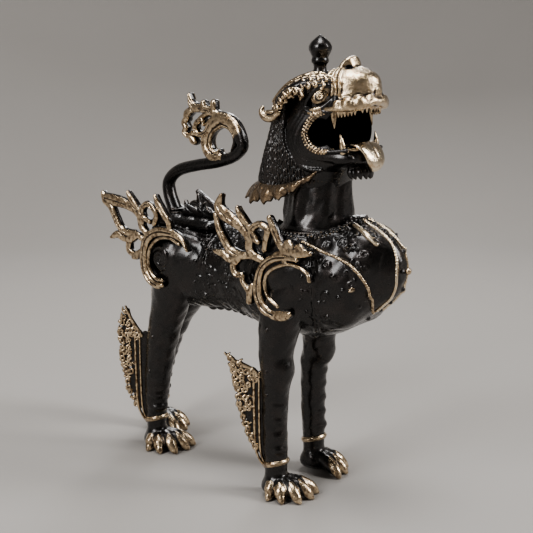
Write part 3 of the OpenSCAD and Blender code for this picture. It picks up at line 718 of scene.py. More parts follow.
class Relief:
    """A flat casting of strands drawn in a plane (u, v); each strand has a round crown."""

    def __init__(self, low, high, step=0.62):
        self.step = step
        grow = step * COARSE
        self.u, self.v = (np.arange(a, b, grow, dtype=np.float32) for a, b in zip(low, high))
        self.edge = np.full((self.u.size, self.v.size), FAR, np.float32)
        self.crown = np.zeros_like(self.edge)

    def span(self, path):
        path = np.asarray(path, np.float32)
        u, v = self.u[:, None], self.v[None, :]
        dist = np.full_like(self.edge, FAR)
        near = np.full_like(self.edge, FAR)
        for a, b in zip(path[:-1], path[1:]):
            d = b - a
            square = max(float(d[0] ** 2 + d[1] ** 2), 1e-6)
            t = np.clip(((u - a[0]) * d[0] + (v - a[1]) * d[1]) / square, 0, 1)
            off = np.sqrt((u - a[0] - t * d[0]) ** 2 + (v - a[1] - t * d[1]) ** 2)
            half = (a[2] + t * d[2]) / 2
            dist, near = np.minimum(dist, off - half), np.minimum(near, off / np.maximum(half, 0.2))
        return dist, near

    def strand(self, path, lift=1.0, steps=6, blend=1.5):
        """Adds a strand along [u, v, width]."""
        dist, near = self.span(spline(path, steps))
        soft = np.maximum(blend - abs(self.edge - dist), 0)
        self.edge = np.minimum(self.edge, dist) - soft ** 2 / (4 * blend)
        self.crown = np.maximum(self.crown, lift * np.sqrt(np.clip(1 - near ** 2, 0, 1)))
        return self

    def groove(self, path, width=1.6, depth=0.8, steps=6):
        rows = [(p[0], p[1], width) for p in path]
        dist, _ = self.span(spline(rows, steps))
        share = np.clip(0.5 - dist / width, 0, 1)
        self.crown -= depth * share
        return self

    def hole(self, centre, radius):
        away = np.hypot(self.u[:, None] - centre[0], self.v[None, :] - centre[1])
        self.edge = np.maximum(self.edge, radius - away)
        return self

    def clay(self, thick, relief=2.6, rounding=2.4, gold=1.0, back=1.0):
        """The casting as clay, with its thickness along x; back is the share of gold on the -x side."""
        half = thick / 2
        made = Clay((-half - 3, self.u[0], self.v[0]), (half + 3, self.u[-1], self.v[-1]), self.step)
        shape = made.skin.shape
        edge = self.edge[:shape[1], :shape[2]][None]
        face = (half - relief + relief * self.crown[:shape[1], :shape[2]])[None]
        x = abs(made.axes[0])[:, None, None]
        q, r = edge + rounding, x - face + rounding
        outside = np.sqrt(np.maximum(q, 0) ** 2 + np.maximum(r, 0) ** 2)
        made.skin[:, :edge.shape[1], :edge.shape[2]] = outside + np.minimum(np.maximum(q, r), 0) - rounding
        crest = np.clip((x - half * 0.3) / (half * 0.35), 0, 1) * np.clip(0.35 - edge / 1.4, 0, 1)
        crest *= np.where(made.axes[0] < 0, back, 1.0)[:, None, None]
        made.gold[:, :edge.shape[1], :edge.shape[2]] = gold * crest
        part, x, y, z = made.everywhere()
        made.skin[part] += 0.22 * np.sin(y / 2.1 + x) * np.sin(z / 2.6 - y / 5) - 0.1
        return made


# strands about the middle of each C scroll: [u, v, width], u towards the tail and v up
HIP_STRANDS = [
    [(92, 72, 3), (88, 66, 9), (72, 64, 11), (53, 61, 10), (38, 54, 7), (28, 44, 5)],
    [(90, 62, 5), (78, 55, 7), (72, 43, 7), (65, 31, 7), (55, 26, 7), (40, 26, 6), (30, 22, 6)],
    [(80, 18, 3), (70, 22, 7), (56, 18, 6), (42, 24, 5)],
    [(41, 22, 5), (51, 15, 6), (52, 5, 6), (43, 0, 6), (34, 3, 6)],
    [(45, -4, 2.5), (40, -2, 5), (32, 4, 6)],
    [(30, 44, 8), (29, 36, 7), (22, 29, 6), (16, 26, 6)],
    [(15, 43, 4), (25, 48, 5), (27, 57, 5.5), (17, 64, 5.5), (6, 58, 5.5), (3, 50, 5), (8, 41, 4)],
    [(2, 75, 3), (-2, 65, 7), (-11, 53, 7), (-17, 46, 6), (-19, 34, 6)],
    [(48, 76, 2.5), (43, 68, 6), (34, 58, 5), (28, 50, 4)],
]
HIP_BAND = [(-48, 16, 3), (-39, 27, 6), (-22, 33, 9), (-2, 33, 11), (13, 28, 11), (23, 18, 11),
            (27, 4, 11), (27, -8, 11), (24, -19, 11), (16, -28, 10), (4, -32, 9), (-4, -31, 6)]
HIP_RIM = [(-5, -25), (6, -24), (14, -17), (18, -6), (16, 8), (9, 18), (-3, 25), (-19, 27), (-34, 22)]
SHOULDER_STRANDS = [
    [(84, 92, 3), (88, 80, 10), (82, 73, 12), (67, 66, 11), (54, 57, 8), (45, 46, 5)],
    [(92, 70, 5), (88, 56, 7), (79, 41, 8), (72, 32, 8), (60, 28, 8), (45, 29, 6), (34, 28, 6)],
    [(94, 29, 3), (83, 27, 7), (73, 22, 7), (62, 25, 5)],
    [(61, 24, 5), (69, 15, 6), (65, 6, 6), (57, 6, 5), (56, -1, 5), (49, -9, 6), (46, -13, 4)],
    [(42, -3, 4), (46, -12, 6), (47, -22, 6)],
    [(46, 46, 8), (46, 37, 8), (39, 29, 7), (29, 26, 6)],
    [(33, 45, 4), (41, 49, 5), (42, 58, 5.5), (31, 65, 5.5), (20, 60, 6), (23, 48, 5), (25, 38, 5)],
    [(16, 73, 5), (11, 62, 7), (5, 49, 7), (-1, 40, 7), (-3, 30, 7)],
    [(60, 81, 2.5), (56, 73, 6), (44, 59, 5), (36, 50, 4)],
    [(-5, 42, 7), (-8, 48, 8), (-13, 46, 6)],
    [(-19, 42, 6), (-24, 46, 7), (-29, 43, 5)],
    [(8, 32, 9), (-10, 38, 9), (-26, 40, 8), (-38, 41, 4)],
]
SHOULDER_BAND = [(-10, -28, 6), (-2, -31, 11), (12, -32, 12), (26, -27, 12), (34, -15, 12), (35, -2, 11),
                 (32, 12, 9), (25, 22, 9), (12, 30, 9), (-4, 33, 7), (-20, 32, 5)]
SHOULDER_RIM = [(6, -22), (19, -13), (24, -1), (22, 10), (12, 19), (-8, 26), (-26, 24), (-35, 18),
                (-37, 12)]


def fuller(rows, share=1.2, more=1.4):
    """The same strand, wider."""
    return [(u, v, w * share + more) for u, v, w in rows]


def scroll(strands, band, rim, low, high):
    """A C scroll with its flame: a broad band, a thin inner rim and the strands behind them."""
    relief = Relief(low, high)
    for rows in strands:
        relief.strand(fuller(rows), 0.8, blend=3.0)
        if len(rows) > 4:
            relief.groove(rows[1:-2], 1.1, 0.28)
    relief.strand(fuller(band, 1.0, 1.0), 1.0)
    relief.groove([(u, v) for u, v, _ in band[2:-1]], 1.3, 0.5)
    relief.strand([(*p, 5.0) for p in rim], 0.95)
    return relief.clay(10.5, 3.2, 1.7, back=0.1)


def seat_scroll(name, clay, centre, side, turn, node):
    """Stands a scroll against the body's flank; turn tilts it about its middle."""
    c, s = math.cos(math.radians(turn)), math.sin(math.radians(turn))

    def place(p):
        u, v = p[:, 1], p[:, 2]
        flare = 5.0 * np.clip((np.hypot(u, v) - 36) / 60, 0, 1) ** 1.5
        return np.c_[side * (p[:, 0] + flare) + centre[0], centre[1] + c * u + s * v,
                     centre[2] - s * u + c * v]
    obj = cast(clay, name, "body", node, place)
    if side < 0:
        obj.data.flip_normals()


def flames():
    """The four openwork ornaments, two shapes each seen on both sides."""
    shoulder = scroll(SHOULDER_STRANDS, SHOULDER_BAND, SHOULDER_RIM, (-50, -46), (104, 102))
    hip = scroll(HIP_STRANDS, HIP_BAND, HIP_RIM, (-60, -46), (104, 88))
    for side, word in SIDES:
        seat_scroll("shoulder_scroll_" + word, shoulder, (side * 58, *SHOULDER), side, 0,
                    "shoulder_flame_" + word)
        turned, back = (27, 10) if side > 0 else (0, 0)
        seat_scroll("hip_scroll_" + word, hip, (side * 54.5, HIP[0] + back, HIP[1]), side, turned,
                    "hip_flame_" + word)


# outlines of a fin: how far the edge stands out at each height, and how high the top is there
FIN_EDGE = {"front": ((34, 9), (37, 17), (50, 23), (64, 31), (76, 34), (88, 37), (97, 41), (108, 44),
                      (122, 46), (134, 49), (149, 51), (166, 57)),
            "rear": ((45, 19), (58, 30), (76, 38), (90, 39), (102, 42), (120, 45), (142, 46), (159, 44),
                     (171, 41), (183, 36))}
FIN_TOP = {"front": ((4, 138), (16, 141), (21, 147), (36, 154), (57, 166)),
           "rear": ((4, 144), (14, 147), (20, 151), (28, 164), (31, 181), (40, 183))}


def fin(name):
    """The fretted flame behind a shin: gold bars along the leg and a crust of curls."""
    x, y, _ = ANKLES[name]
    side, kind = np.sign(x), name.split("_")[0]
    edge_at, top_at = (np.array(table[kind], float) for table in (FIN_EDGE, FIN_TOP))
    top, reach = edge_at[-1]
    relief = Relief((3, 28), (edge_at[:, 1].max() + 7, top + 7), 0.5)
    u, v = relief.u[:, None], relief.v[None, :]
    outer = np.interp(v, edge_at[:, 0], edge_at[:, 1])

    def top_over(place):
        return np.interp(place, top_at[:, 0], top_at[:, 1])

    upper = top_over(u)
    web = np.maximum(np.maximum(u - outer + 3.5, (v - upper + 2.0) * 0.7), np.maximum(17 - u, 50 - v))
    relief.edge = np.minimum(relief.edge, web)
    crest = top_at[1][1]
    relief.strand([(6, 40, 8), (12, 46, 10), (13, 70, 14), (13, 100, 14), (13, crest - 8, 13),
                   (12, crest, 8)], 0.05)
    rng = np.random.default_rng(5 if kind == "front" else 6)
    v_mid = 56.0
    while v_mid < top - 3:
        out = np.interp(v_mid, edge_at[:, 0], edge_at[:, 1])
        inside = 27.5 if v_mid < crest - 4 else 18 + (v_mid - crest) * 0.9
        count = max(1, round((out - inside) / 8.2))
        for k in range(count):
            centre = (out - 3.2 - k * (out - inside) / count + rng.uniform(-0.8, 0.8),
                      v_mid + rng.uniform(-1.4, 1.4))
            if centre[1] > top_over(centre[0]) - 2:
                continue
            size, start, hand = rng.uniform(2.9, 3.9), rng.uniform(0, 360), rng.choice((-1, 1))
            path = []
            for t in np.linspace(0, 1, 9):
                a, r = math.radians(start + hand * 330 * t), size * (1 - 0.5 * t)
                path.append((centre[0] + r * math.cos(a), centre[1] + r * math.sin(a), 3.7 - 1.0 * t))
            relief.strand(path, 1.0, 2, blend=0.5)
            tip = math.radians(rng.uniform(20, 100) if k == 0 else rng.uniform(0, 360))
            barb = [(centre[0] + r * math.cos(tip + bend), centre[1] + r * math.sin(tip + bend), width)
                    for r, bend, width in ((0, 0, 2.0), (4, 0, 3.2), (7, 0.5, 1.6))]
            relief.strand(barb, 0.9, 3, blend=0.5)
            if rng.uniform() < 0.45 and v_mid < crest - 8:
                relief.hole((centre[0] + 0.5, centre[1] + 4.4), rng.uniform(1.1, 2.0))
        v_mid += 7.4
    relief.strand([(9, 35, 2.6), (15, 42, 3.0), (18, 58, 3.0), (19, 96, 3.0), (19, crest - 6, 3.0),
                   (18, crest + 3, 2.4)], 0.9, blend=0.5)
    relief.strand([(13, 33, 2.6), (20, 45, 3.0), (23.5, 60, 3.4), (24.5, 96, 3.4), (25, crest - 8, 3.4),
                   (25, crest + 3, 3)], 1.0, blend=0.5)
    relief.strand([(18, crest - 2, 5), (reach * 0.5, top_over(reach * 0.5) - 3, 5.5),
                   (reach * 0.8, top_over(reach * 0.8) - 4, 5), (reach, top - 1, 2.6)], 0.75)
    clay = relief.clay(6.0, 2.2, 1.1)
    c, s = math.cos(math.radians(38)), math.sin(math.radians(38))

    def place(p):
        return np.c_[x + side * (s * p[:, 1] - c * p[:, 0]), y + c * p[:, 1] + s * p[:, 0], p[:, 2]]
    obj = cast(clay, "shin_flame_" + name, "body", "leg_flame_" + name, place)
    if side < 0:
        obj.data.flip_normals()


# ------------------------------------------------------------------ chest trim

def seat_height(clay, x, y):
    """The height of the clay's top at a place in plan."""
    heights = np.arange(SEAT + 16, SEAT - 22, -0.5)
    rows = np.c_[np.full(heights.size, x), np.full(heights.size, y), heights]
    depth = sampled(clay.skin, (rows - clay.origin) / clay.step)
    return heights[np.argmax(depth < 0)]


def beads(clay, path, gap, radius, gold, blend=0.6):
    """A row of round beads along a path."""
    for p in spaced(path, gap):
        clay.add(clay.ball(p[:3], radius, reach=2), blend, gold)


def collar(body):
    """Two rings of beads on the seat round the neck."""
    clay = Clay((-64, -100, 284), (64, 34, 334), 0.7)
    for radius, size in ((49.3, 1.9), (52.6, 1.5)):
        for a in np.arange(0, 2 * math.pi, 2.05 * size / radius * 1.25):
            px, py = radius * math.cos(a), NECK[1] + radius * math.sin(a)
            pz = seat_height(body, px, py)
            clay.add_ball((px, py, pz + 0.6), (size, size, size * 0.8), 0.6, 0.36)
    ring = circle((0, NECK[1]), 51, 90)
    clay.add_rope([(px, py, seat_height(body, px, py) - 0.2, 1.3) for px, py in ring], 0.8, 0.1)
    cast(clay, "collar_beads", "body", "neck_collar", crumbs=60)


def chest(body):
    """The beaded straps and keel lines, the polished bars and the boss, laid on the body's skin."""
    for side, word in SIDES:
        rows = [(y, 90 - side * (a - 90)) for y, a in STRAP]
        path = body_path(body, rows, 1.5, 8, out=0.5)
        points = np.array(path)[:, :3]
        clay = Clay(points.min(0) - 6, points.max(0) + 6, 0.55)
        clay.add_rope(path, 0.8, 0.4)
        beads(clay, body_path(body, rows, 1.5, 8, out=1.4), 3.0, 1.75, 1.0)
        cast(clay, "chest_beads_" + word, "body", "chest_strap_" + word, crumbs=60)
    clay = Clay((-26, -150, 214), (26, -80, 324), 0.6)
    keel = [(-93, 97), (-104, 101), (-114, 102), (-124, 105), (-132, 112), (-138, 134), (-139.5, 180),
            (-138, 226), (-132, 248), (-124, 255), (-112, 258)]
    for side in (-1, 1):
        rows = [(y, 90 - side * (a - 90)) for y, a in keel]
        clay.add_rope(body_path(body, rows, 1.5, 6, out=0.4), 0.8, 0.4)
        beads(clay, body_path(body, rows, 1.5, 6, out=1.2), 3.0, 1.6, 1.0)
    bar_run = ((-88, 111), (-100, 119), (-110, 127), (-120, 134))
    for side in (-1, 1):
        bar = [on_skin(body, y, 90 - side * (a - 90), 0.4) for y, a in bar_run]
        bar = spline([(*p, r) for p, r in zip(bar, (2.4, 3.3, 3.3, 2.4))], 6)
        clay.add_rope(bar, 0.8, 1.0)
    cast(clay, "chest_bars", "body", "chest_crest", metal=METAL["tongue"], crumbs=60)
    clay = Clay((-8, -156, 262), (8, -136, 278), 0.4)
    clay.add_rope([(0, -139, 269, 3.6), (0, -145, 269.4, 2.0), (0, -147, 269.6, 1.6)], 1, 0.35)
    clay.add_ball((0, -147.4, 270), (3.6, 3.2, 3.6), 1.0, 1.0)
    cast(clay, "chest_boss", "body", "chest_stud", crumbs=60)


def studs(body):
    """Raised studs on the flanks and chest, the dark ones in a ring of small beads."""
    clay = Clay((-62, -140, 196), (62, 150, 316), 0.75)
    for y, deg, gold in ((22, 35, 0.3), (52, 60, 0.2), (96, 30, 0.3), (96, 60, 0.2), (104, 150, 0.3),
                         (96, 120, 0.2), (20, 145, 0.3), (50, 120, 0.2), (-103, 196, 0.85),
                         (-103, -16, 0.85), (-96, 30, 0.3), (-96, 150, 0.3), (-118, 52, 0.3),
                         (-118, 128, 0.3), (-84, 60, 0.3), (-84, 120, 0.3)):
        p = on_skin(body, y, deg, -0.6)
        away = on_torso(y, deg, 5) - on_torso(y, deg)
        clay.add_ball(p, 3.4, 0.6, gold / 2)
        clay.add_rope([(*p, 2.6), (*(p + away), 1.4)], 1.2, gold)
        for k in range(0 if gold > 0.5 else 7):
            a = k * math.pi / 3.5
            ring = on_skin(body, y + 4.4 * math.cos(a),
                           deg + np.degrees(4.4 * math.sin(a) / torso_at(y)[3]), 0.1)
            clay.add_ball(ring, 1.2, 0.8)
    cast(clay, "flank_studs", "body", "body_studs", crumbs=20)


# ------------------------------------------------------------------ head

def neck():
    """The folded neck on its round spigot."""
    clay = Clay((-50, -82, 284), (50, 22, 368), 0.9)
    profile = [(SEAT + 0.6, 45.4), (303.5, 45.2), (305.5, 42), (309, 39.6), (320, 38.2), (336, 36.2),
               (350, 35.2), (366, 34)]
    clay.add(clay.drum(NECK, profile, SEAT + 0.6, 366, 1.0), 1)
    clay.add(clay.drum(NECK, 25.6, SEAT - 14, SEAT + 4, 1.0), 0.6)
    part, x, y, z = clay.everywhere()
    around = np.arctan2(x - NECK[0], y - NECK[1])
    folds = np.sin(around * 7 + 0.6 + z / 40) * 1.9 + np.sin(around * 13 + z / 18) * 0.6
    clay.skin[part] += (folds * np.clip((z - 308) / 14, 0, 1)).astype(np.float32) + worked(x, y, z, 0.2)
    ring = [(*p, 303.8, 1.2) for p in circle((0, NECK[1]), 44.4, 80)]
    clay.add_rope(ring, 0.8, 0.25)
    cast(clay, "neck_casting", "head", "neck_column")


SKULL = spline([(350, 0, -26, 34, 36), (364, 0, -28, 37, 42), (378, 0, -32, 38, 47), (395, 0, -32, 39, 47),
                (412, 0, -31, 39, 46), (430, 0, -32, 38, 44), (446, 0, -33, 35, 41), (456, 0, -34, 30, 36),
                (463, 0, -35, 23, 28), (467, 0, -33, 14, 18)], 5)


def lips(side):
    """The border of the mouth's corner, from the upper lip round to the lower one."""
    return spline([(side * 33, -72, 432), (side * 35, -60, 431), (side * 37.5, -50, 425),
                   (side * 39, -43, 415), (side * 39, -41, 407), (side * 38, -46, 397),
                   (side * 36, -57, 391), (side * 34, -70, 391), (side * 30, -88, 393)], 6)


def head():
    """The skull with its open mouth, beaded lips, ruff, eyelids and top-knot foot."""
    clay = Clay((-50, -118, 346), (50, 34, 486), 0.8)
    clay.add(clay.loft(SKULL, 2, 2.2))
    for side in (-1, 1):
        clay.add_ball((side * 27, -26, 399), (15, 27, 32), 8)
        clay.add_ball((side * 24, -64, 384), (11, 30, 10), 8)
        clay.add_ball((side * 26, -62, 442), (10, 18, 12), 8)
    clay.add_ball((0, -62, 458), (18, 16, 13), 8)
    # mouth and throat, with the inner cheeks left standing between the jaws; their insides are painted near
    # black as shade
    mouth = [(-130, 0, 412, 33, 20), (-84, 0, 412, 32, 19), (-79, 0, 412, 25, 19), (-62, 0, 411, 25, 18),
             (-50, 0, 409, 22, 15), (-38, 0, 406, 17, 11)]
    clay.cut(clay.loft(mouth, 1, 2.8), 2, PAINTED_MOUTH_SHADE)
    for side in (-1, 1):
        clay.cut(clay.ball((side * 42, -68, 411), (14.5, 24, 19)), 3, PAINTED_MOUTH_SHADE)
        clay.add_ball((side * 25.5, -68, 411), (2.4, 11.5, 20), 2, PAINTED_MOUTH_SHADE)
        clay.paint(clay.ball((side * 26, -74, 411), (7, 17, 19)), PAINTED_MOUTH_SHADE, 2)
        corner = lips(side)
        clay.add_rope([(*p, 2.5) for p in corner], 1.5, 0.05)
        for out, back, grow, size in ((0.4, -2.6, -0.08, 1.7), (2.2, -0.2, 0.0, 1.8),
                                      (1.8, 2.6, 0.10, 1.7)):
            row = [(p[0] + side * out, p[1] + back, p[2] + grow * (p[2] - 411), 1.2) for p in corner[6:42]]
            beads(clay, row, 3.5, size - 0.25, 0.85, 0.2)
        # cheek lines and the beads between cheek and mane
        for grow, deep in ((0, 0.9), (5, 0.6), (10, 0.5)):
            line = spline([(side * 40, -44 + grow, 430), (side * 42, -32 + grow, 408),
                           (side * 40, -34 + grow, 388), (side * 36, -52 + grow / 2, 380 - grow / 2),
                           (side * 32, -72, 379 - grow / 2)])
            clay.press_rope([(*p, 0.6) for p in line], deep, 2.6)
        ruff = spline([(side * 42, -12, 412), (side * 42, -14, 398), (side * 41, -20, 386),
                       (side * 38, -30, 377), (side * 36, -44, 371), (side * 33, -58, 371)])
        clay.add_rope([(*p, 1.8) for p in ruff], 1.5)
        beads(clay, [(*p, 1) for p in ruff], 4.2, 2.5, 0.15, 1.0)
        # eye socket and heavy lids
        clay.press(clay.ball((side * 37, -56, 447), (7, 16, 11)), 2.2, 4)
        lid = [(side * 39, -40, 437, 2.0), (side * 39.5, -46, 447, 2.6), (side * 37, -56, 456.5, 2.8),
               (side * 32, -66, 458, 2.4), (side * 28, -73, 453, 1.8)]
        low_lid = [(side * 39, -40, 436, 1.8), (side * 38.5, -50, 434, 2.4), (side * 35.5, -62, 437, 2.4),
                   (side * 30, -72, 447, 1.8)]
        clay.add_rope(spline(lid), 1.2)
        clay.add_rope(spline([(p[0] + side * 0.5, p[1] + 1, p[2] + 5, 1.6) for p in lid]), 1.2)
        clay.add_rope(spline(low_lid), 1.2)
        clay.add_rope(spline([(p[0] + side * 0.3, p[1] + 1.5, p[2] - 4.6, 1.3) for p in low_lid]), 1.2)
        # waves of hair over the forehead
        for k in range(5):
            wave = [(side * (2 + 5 * k), -68 + 3 * k, 468 - 2 * k, 1.8),
                    (side * (5 + 5 * k), -56, 469 - 2.2 * k, 2.4),
                    (side * (1 + 5 * k), -44, 468 - 2.0 * k, 2.4),
                    (side * (4 + 5 * k), -34, 467 - 2.0 * k, 1.6)]
            clay.add_rope(spline(wave), 1.0)
    # fluted foot of the top knot
    for k in range(12):
        a = 2 * math.pi * k / 12
        foot = [(r * math.cos(a), NECK[1] + r * math.sin(a), z, s)
                for r, z, s in ((20, 462, 2.6), (13.5, 466.5, 2.6), (8, 471, 1.8))]
        clay.add_rope(spline(foot), 0.9)
    cast(clay, "head_casting", "head", "head_shell")


MUZZLE = spline([(-48, 0, 451, 25, 16), (-56, 0, 452, 28, 18.5), (-64, 0, 453.5, 29, 21),
                 (-72, 0, 455, 29, 22), (-80, 0, 455, 28, 21.5), (-88, 0, 454, 25, 20.5),
                 (-94, 0, 453, 21, 19.5), (-99, 0, 452, 15.5, 18), (-103, 0, 451, 9, 15),
                 (-105, 0, 450, 4, 11)], 5)


def snout():
    """The upper jaw: muzzle, pleats, nostrils, rolled lip and hollow palate."""
    clay = Clay((-44, -116, 408), (44, -50, 496), 0.6)
    clay.add(clay.loft(MUZZLE, 1, 2.5), 1, 1.0)
    clay.add_ball((0, -73, 470), (16, 15, 6.5), 6, 1.0)
    clay.add(clay.loft([(-60, 0, 444, 30, 9), (-72, 0, 445, 31, 9), (-82, 0, 446, 29.5, 9),
                        (-90, 0, 447, 25.5, 9), (-97, 0, 448, 19, 9), (-102, 0, 449, 12, 8),
                        (-105, 0, 449, 5, 6)], 1, 2.6), 4, 1.0)
    for side in (-1, 1):
        # pleats behind the muzzle
        for k in range(4):
            y = -60 - 4.2 * k
            wide, high = (np.interp(-y, -MUZZLE[:, 0], MUZZLE[:, j]) for j in (3, 4))
            fold = []
            for deg in np.linspace(64, -50, 14):
                a = math.radians(deg)
                c, h = abs(math.cos(a)) ** 0.8, math.copysign(abs(math.sin(a)) ** 0.8, math.sin(a))
                fold.append((side * (wide + 1.6 - 0.3 * k) * c, y - 6 * (1 - abs(h)) * (k > 0),
                             454 + (high + 1.2) * h, 2.3 - 0.2 * k))
            clay.add_rope(fold, 0.8, 1.0)
        clay.add_ball((side * 27, -57, 452), (7, 9, 13), 3, 1.0)
        # nostril: an arched lobe over a hollow painted black, partly patina and partly painted shade
        clay.add_ball((side * 3.5, -71.5, 478.5), (8.5, 6.5, 7.8), 3, 1.0)
        arch = [(side * 13, -63, 468, 1.8), (side * 13.5, -66, 475, 2.2), (side * 11.5, -70, 481, 2.6),
                (side * 6, -72.5, 484.5, 2.8), (0, -73, 485.4, 2.6)]
        clay.add_rope(spline(arch), 1.6, 1.0)
        clay.cut(clay.ball((side * 12, -76.5, 475.5), (4.0, 4.0, 3.0)), 2.0, -0.35)
        # lip with rolls, and the fold above it
        lip = [(side * 34, -60, 434, 2.2), (side * 34.5, -70, 434.5, 2.6), (side * 32.5, -80, 435, 3.2),
               (side * 28.5, -89, 436.5, 4.2), (side * 22, -97, 438.5, 5.0), (side * 14, -102.5, 441, 4.4),
               (side * 7, -105, 443, 4.0), (0, -105.5, 442, 4.0)]
        clay.add_rope(spline(lip), 1.2, 1.0)
        for px, py, pz, size in ((27.5, -87, 440, 7.2), (19.5, -95, 442, 7.8), (9, -100, 444.5, 6.6),
                                 (31, -77, 439, 5.6)):
            clay.add_ball((side * px, py, pz), size, 2.6, 1.0)
        fold = [(side * 31, -74, 445, 1.5), (side * 28, -86, 447, 1.6), (side * 21, -95.5, 449.5, 1.6),
                (side * 12, -101.5, 452, 1.4)]
        clay.press_rope(spline(fold), 0.5, 2.2)
    clay.press_rope([(0, -84, 476, 1), (0, -94, 471, 1), (0, -102, 460, 1)], -0.6, 4)
    # the hollow palate, painted near black as shade
    palate = [(-50, 0, 432, 23, 17), (-76, 0, 432, 23, 18), (-90, 0, 432, 18, 14), (-97, 0, 432, 9, 6)]
    clay.cut(clay.loft(palate, 1, 2.2), 2, PAINTED_MOUTH_SHADE)
    cast(clay, "snout_casting", "head", "upper_jaw", metal=METAL["snout"])


def cone(clay, x, y, z, tip, width, gold=1.0):
    """A curved tooth from its root to its tip."""
    path = spline([(x, y, z, width), (x + tip[0] * 0.3, y + tip[1] * 0.3, z + tip[2] * 0.5, width * 0.75),
                   (x + tip[0], y + tip[1], z + tip[2], 0.45)], 6)
    clay.add_rope(path, 0.8, gold)


def teeth():
    """The upper row of teeth and the pair of lower fangs."""
    clay = Clay((-42, -114, 404), (42, -56, 440), 0.42)
    for side in (-1, 1):
        cone(clay, side * 31.5, -72, 433, (side * 1.5, -2.5, -18), 3.6)
        rail = spline([(side * 31, -70, 431), (side * 29.5, -79, 431.5), (side * 26, -87, 433),
                       (side * 20.5, -93.5, 434.5)])
        clay.add_rope([(*p, 1.6) for p in rail], 0.6, 0.8)
        for p in spaced(rail, 3.5):
            cone(clay, p[0], p[1], p[2], (side * 0.4, -0.4, -5.4), 1.75)
    for px in (-15, -9, -3, 3, 9, 15):
        cone(clay, px, -99 + abs(px) * 0.2, 437, (0, -0.5, -6), 1.9)
    clay.add_rope([(-17, -96, 436, 1.6), (0, -100, 438, 1.6), (17, -96, 436, 1.6)], 0.6, 0.8)
    cast(clay, "tooth_row", "head", "upper_teeth", crumbs=60)
    clay = Clay((-40, -96, 386), (40, -70, 414), 0.42)
    for side in (-1, 1):
        cone(clay, side * 29.5, -83, 391, (side * 1.5, 3, 18), 3.6)
        clay.add_rope([(side * 29.5, -77, 391, 1.3), (side * 27.5, -88, 391.5, 1.3)], 0.6, 0.8)
    cast(clay, "lower_fang_pair", "head", "lower_fangs", crumbs=60)


def jaw():
    """The lower jaw with its wavy rim and the lines under it."""
    clay = Clay((-42, -108, 358), (42, -24, 404), 0.7)
    rows = spline([(-30, 0, 381, 30, 9), (-42, 0, 381, 33.5, 10.5), (-56, 0, 382, 33.5, 11),
                   (-68, 0, 382.5, 31.5, 11), (-78, 0, 383, 28, 10.5), (-86, 0, 384, 23, 9.5),
                   (-92, 0, 385, 16, 8), (-96, 0, 386, 8, 5)], 5)
    clay.add(clay.loft(rows, 1, 2.4))
    # the hollow of the lower jaw, painted near black as shade
    clay.cut(clay.loft([(-20, 0, 396, 24, 10), (-60, 0, 396, 25, 10), (-76, 0, 396, 23, 10),
                        (-85, 0, 396, 17, 8), (-91, 0, 396, 9, 5)], 1, 2.4), 2, -1.0)
    for side in (-1, 1):
        rim = spline([(side * 34, -56, 391.5), (side * 32.8, -64, 390.5), (side * 31.5, -71, 393),
                      (side * 29.5, -78, 391.5), (side * 26.5, -84, 394), (side * 20, -90, 393),
                      (side * 11, -95, 394), (0, -97, 393)])
        clay.add_rope([(*p, 1.6) for p in rim], 1.0, 1.0)
        clay.press_rope(spline([(side * 34.5, -50, 385, 0.8), (side * 32, -70, 385, 0.8),
                                (side * 22, -88, 386, 0.8)]), 1.0, 2.4)
        for k in range(3):
            line = spline([(side * 34, -40, 383 - 3 * k, 0.6), (side * 33, -60, 380 - 3 * k, 0.6),
                           (side * 26, -80, 379 - 2 * k, 0.6)])
            clay.press_rope(line, 0.6, 1.8)
    cast(clay, "jaw_casting", "head", "lower_jaw")


def tongue():
    """A broad leaf that lies over the lower lip."""
    clay = Clay((-25, -118, 364), (25, -44, 408), 0.52)
    route = spline([(0, -50, 395, 12), (0, -66, 396, 15), (0, -78, 397.5, 17.4), (0, -88, 397.8, 18.2),
                    (0, -95, 395, 17.8), (0, -100.5, 389, 16), (0, -103.5, 382.5, 14.0),
                    (0, -104, 377.5, 11.0), (0, -103.2, 374.5, 6)], 4)
    for a, b in zip(route[:-1], route[1:]):
        way = (b - a)[:3] / np.linalg.norm((b - a)[:3])
        up = np.cross((1, 0, 0), way)
        clay.add(clay.ball(a[:3], (a[3], 5.5, 2.5), ((1, 0, 0), way, up)), 2.0, 1.0)
    clay.press_rope([(0, p[1] - 1.5 * max(0, -92 - p[1]) / 10, p[2] + 2.4, 0.4) for p in route[:24]], 0.4,
                    3.0)
    cast(clay, "tongue_leaf", "head", "tongue", metal=METAL["tongue"])


def eyes():
    """Almond eyes with a ringed pupil."""
    clay = Clay((-46, -76, 430), (46, -34, 466), 0.5)
    for side in (-1, 1):
        along = np.array((side * 0.42, 0.84, -0.52))
        along /= np.linalg.norm(along)
        out = np.array((side * 0.90, -0.38, 0.12))
        out = out - along * (out @ along)
        out /= np.linalg.norm(out)
        up = np.cross(along, out)
        centre = np.array((side * 34.5, -56, 446.5))
        clay.add(clay.ball(centre, (10.0, 5.2, 7.4), (along, out, up)), 1, 0.62)
        pupil = centre + out * 4.6 - along * 1.5
        groove, ring = ([(*(pupil + along * u + up * v), thick) for u, v in circle((0, 0), radius, 26)]
                        for radius, thick in ((4.7, 0.4), (3.1, 0.75)))
        clay.press_rope(groove, 0.7, 1.2)
        clay.add_rope(ring, 0.5, 0.9)
        clay.add_ball(pupil + out * 0.4, 1.5, 0.5, 0.9)
    cast(clay, "eye_pair", "head", "eyes", crumbs=60)


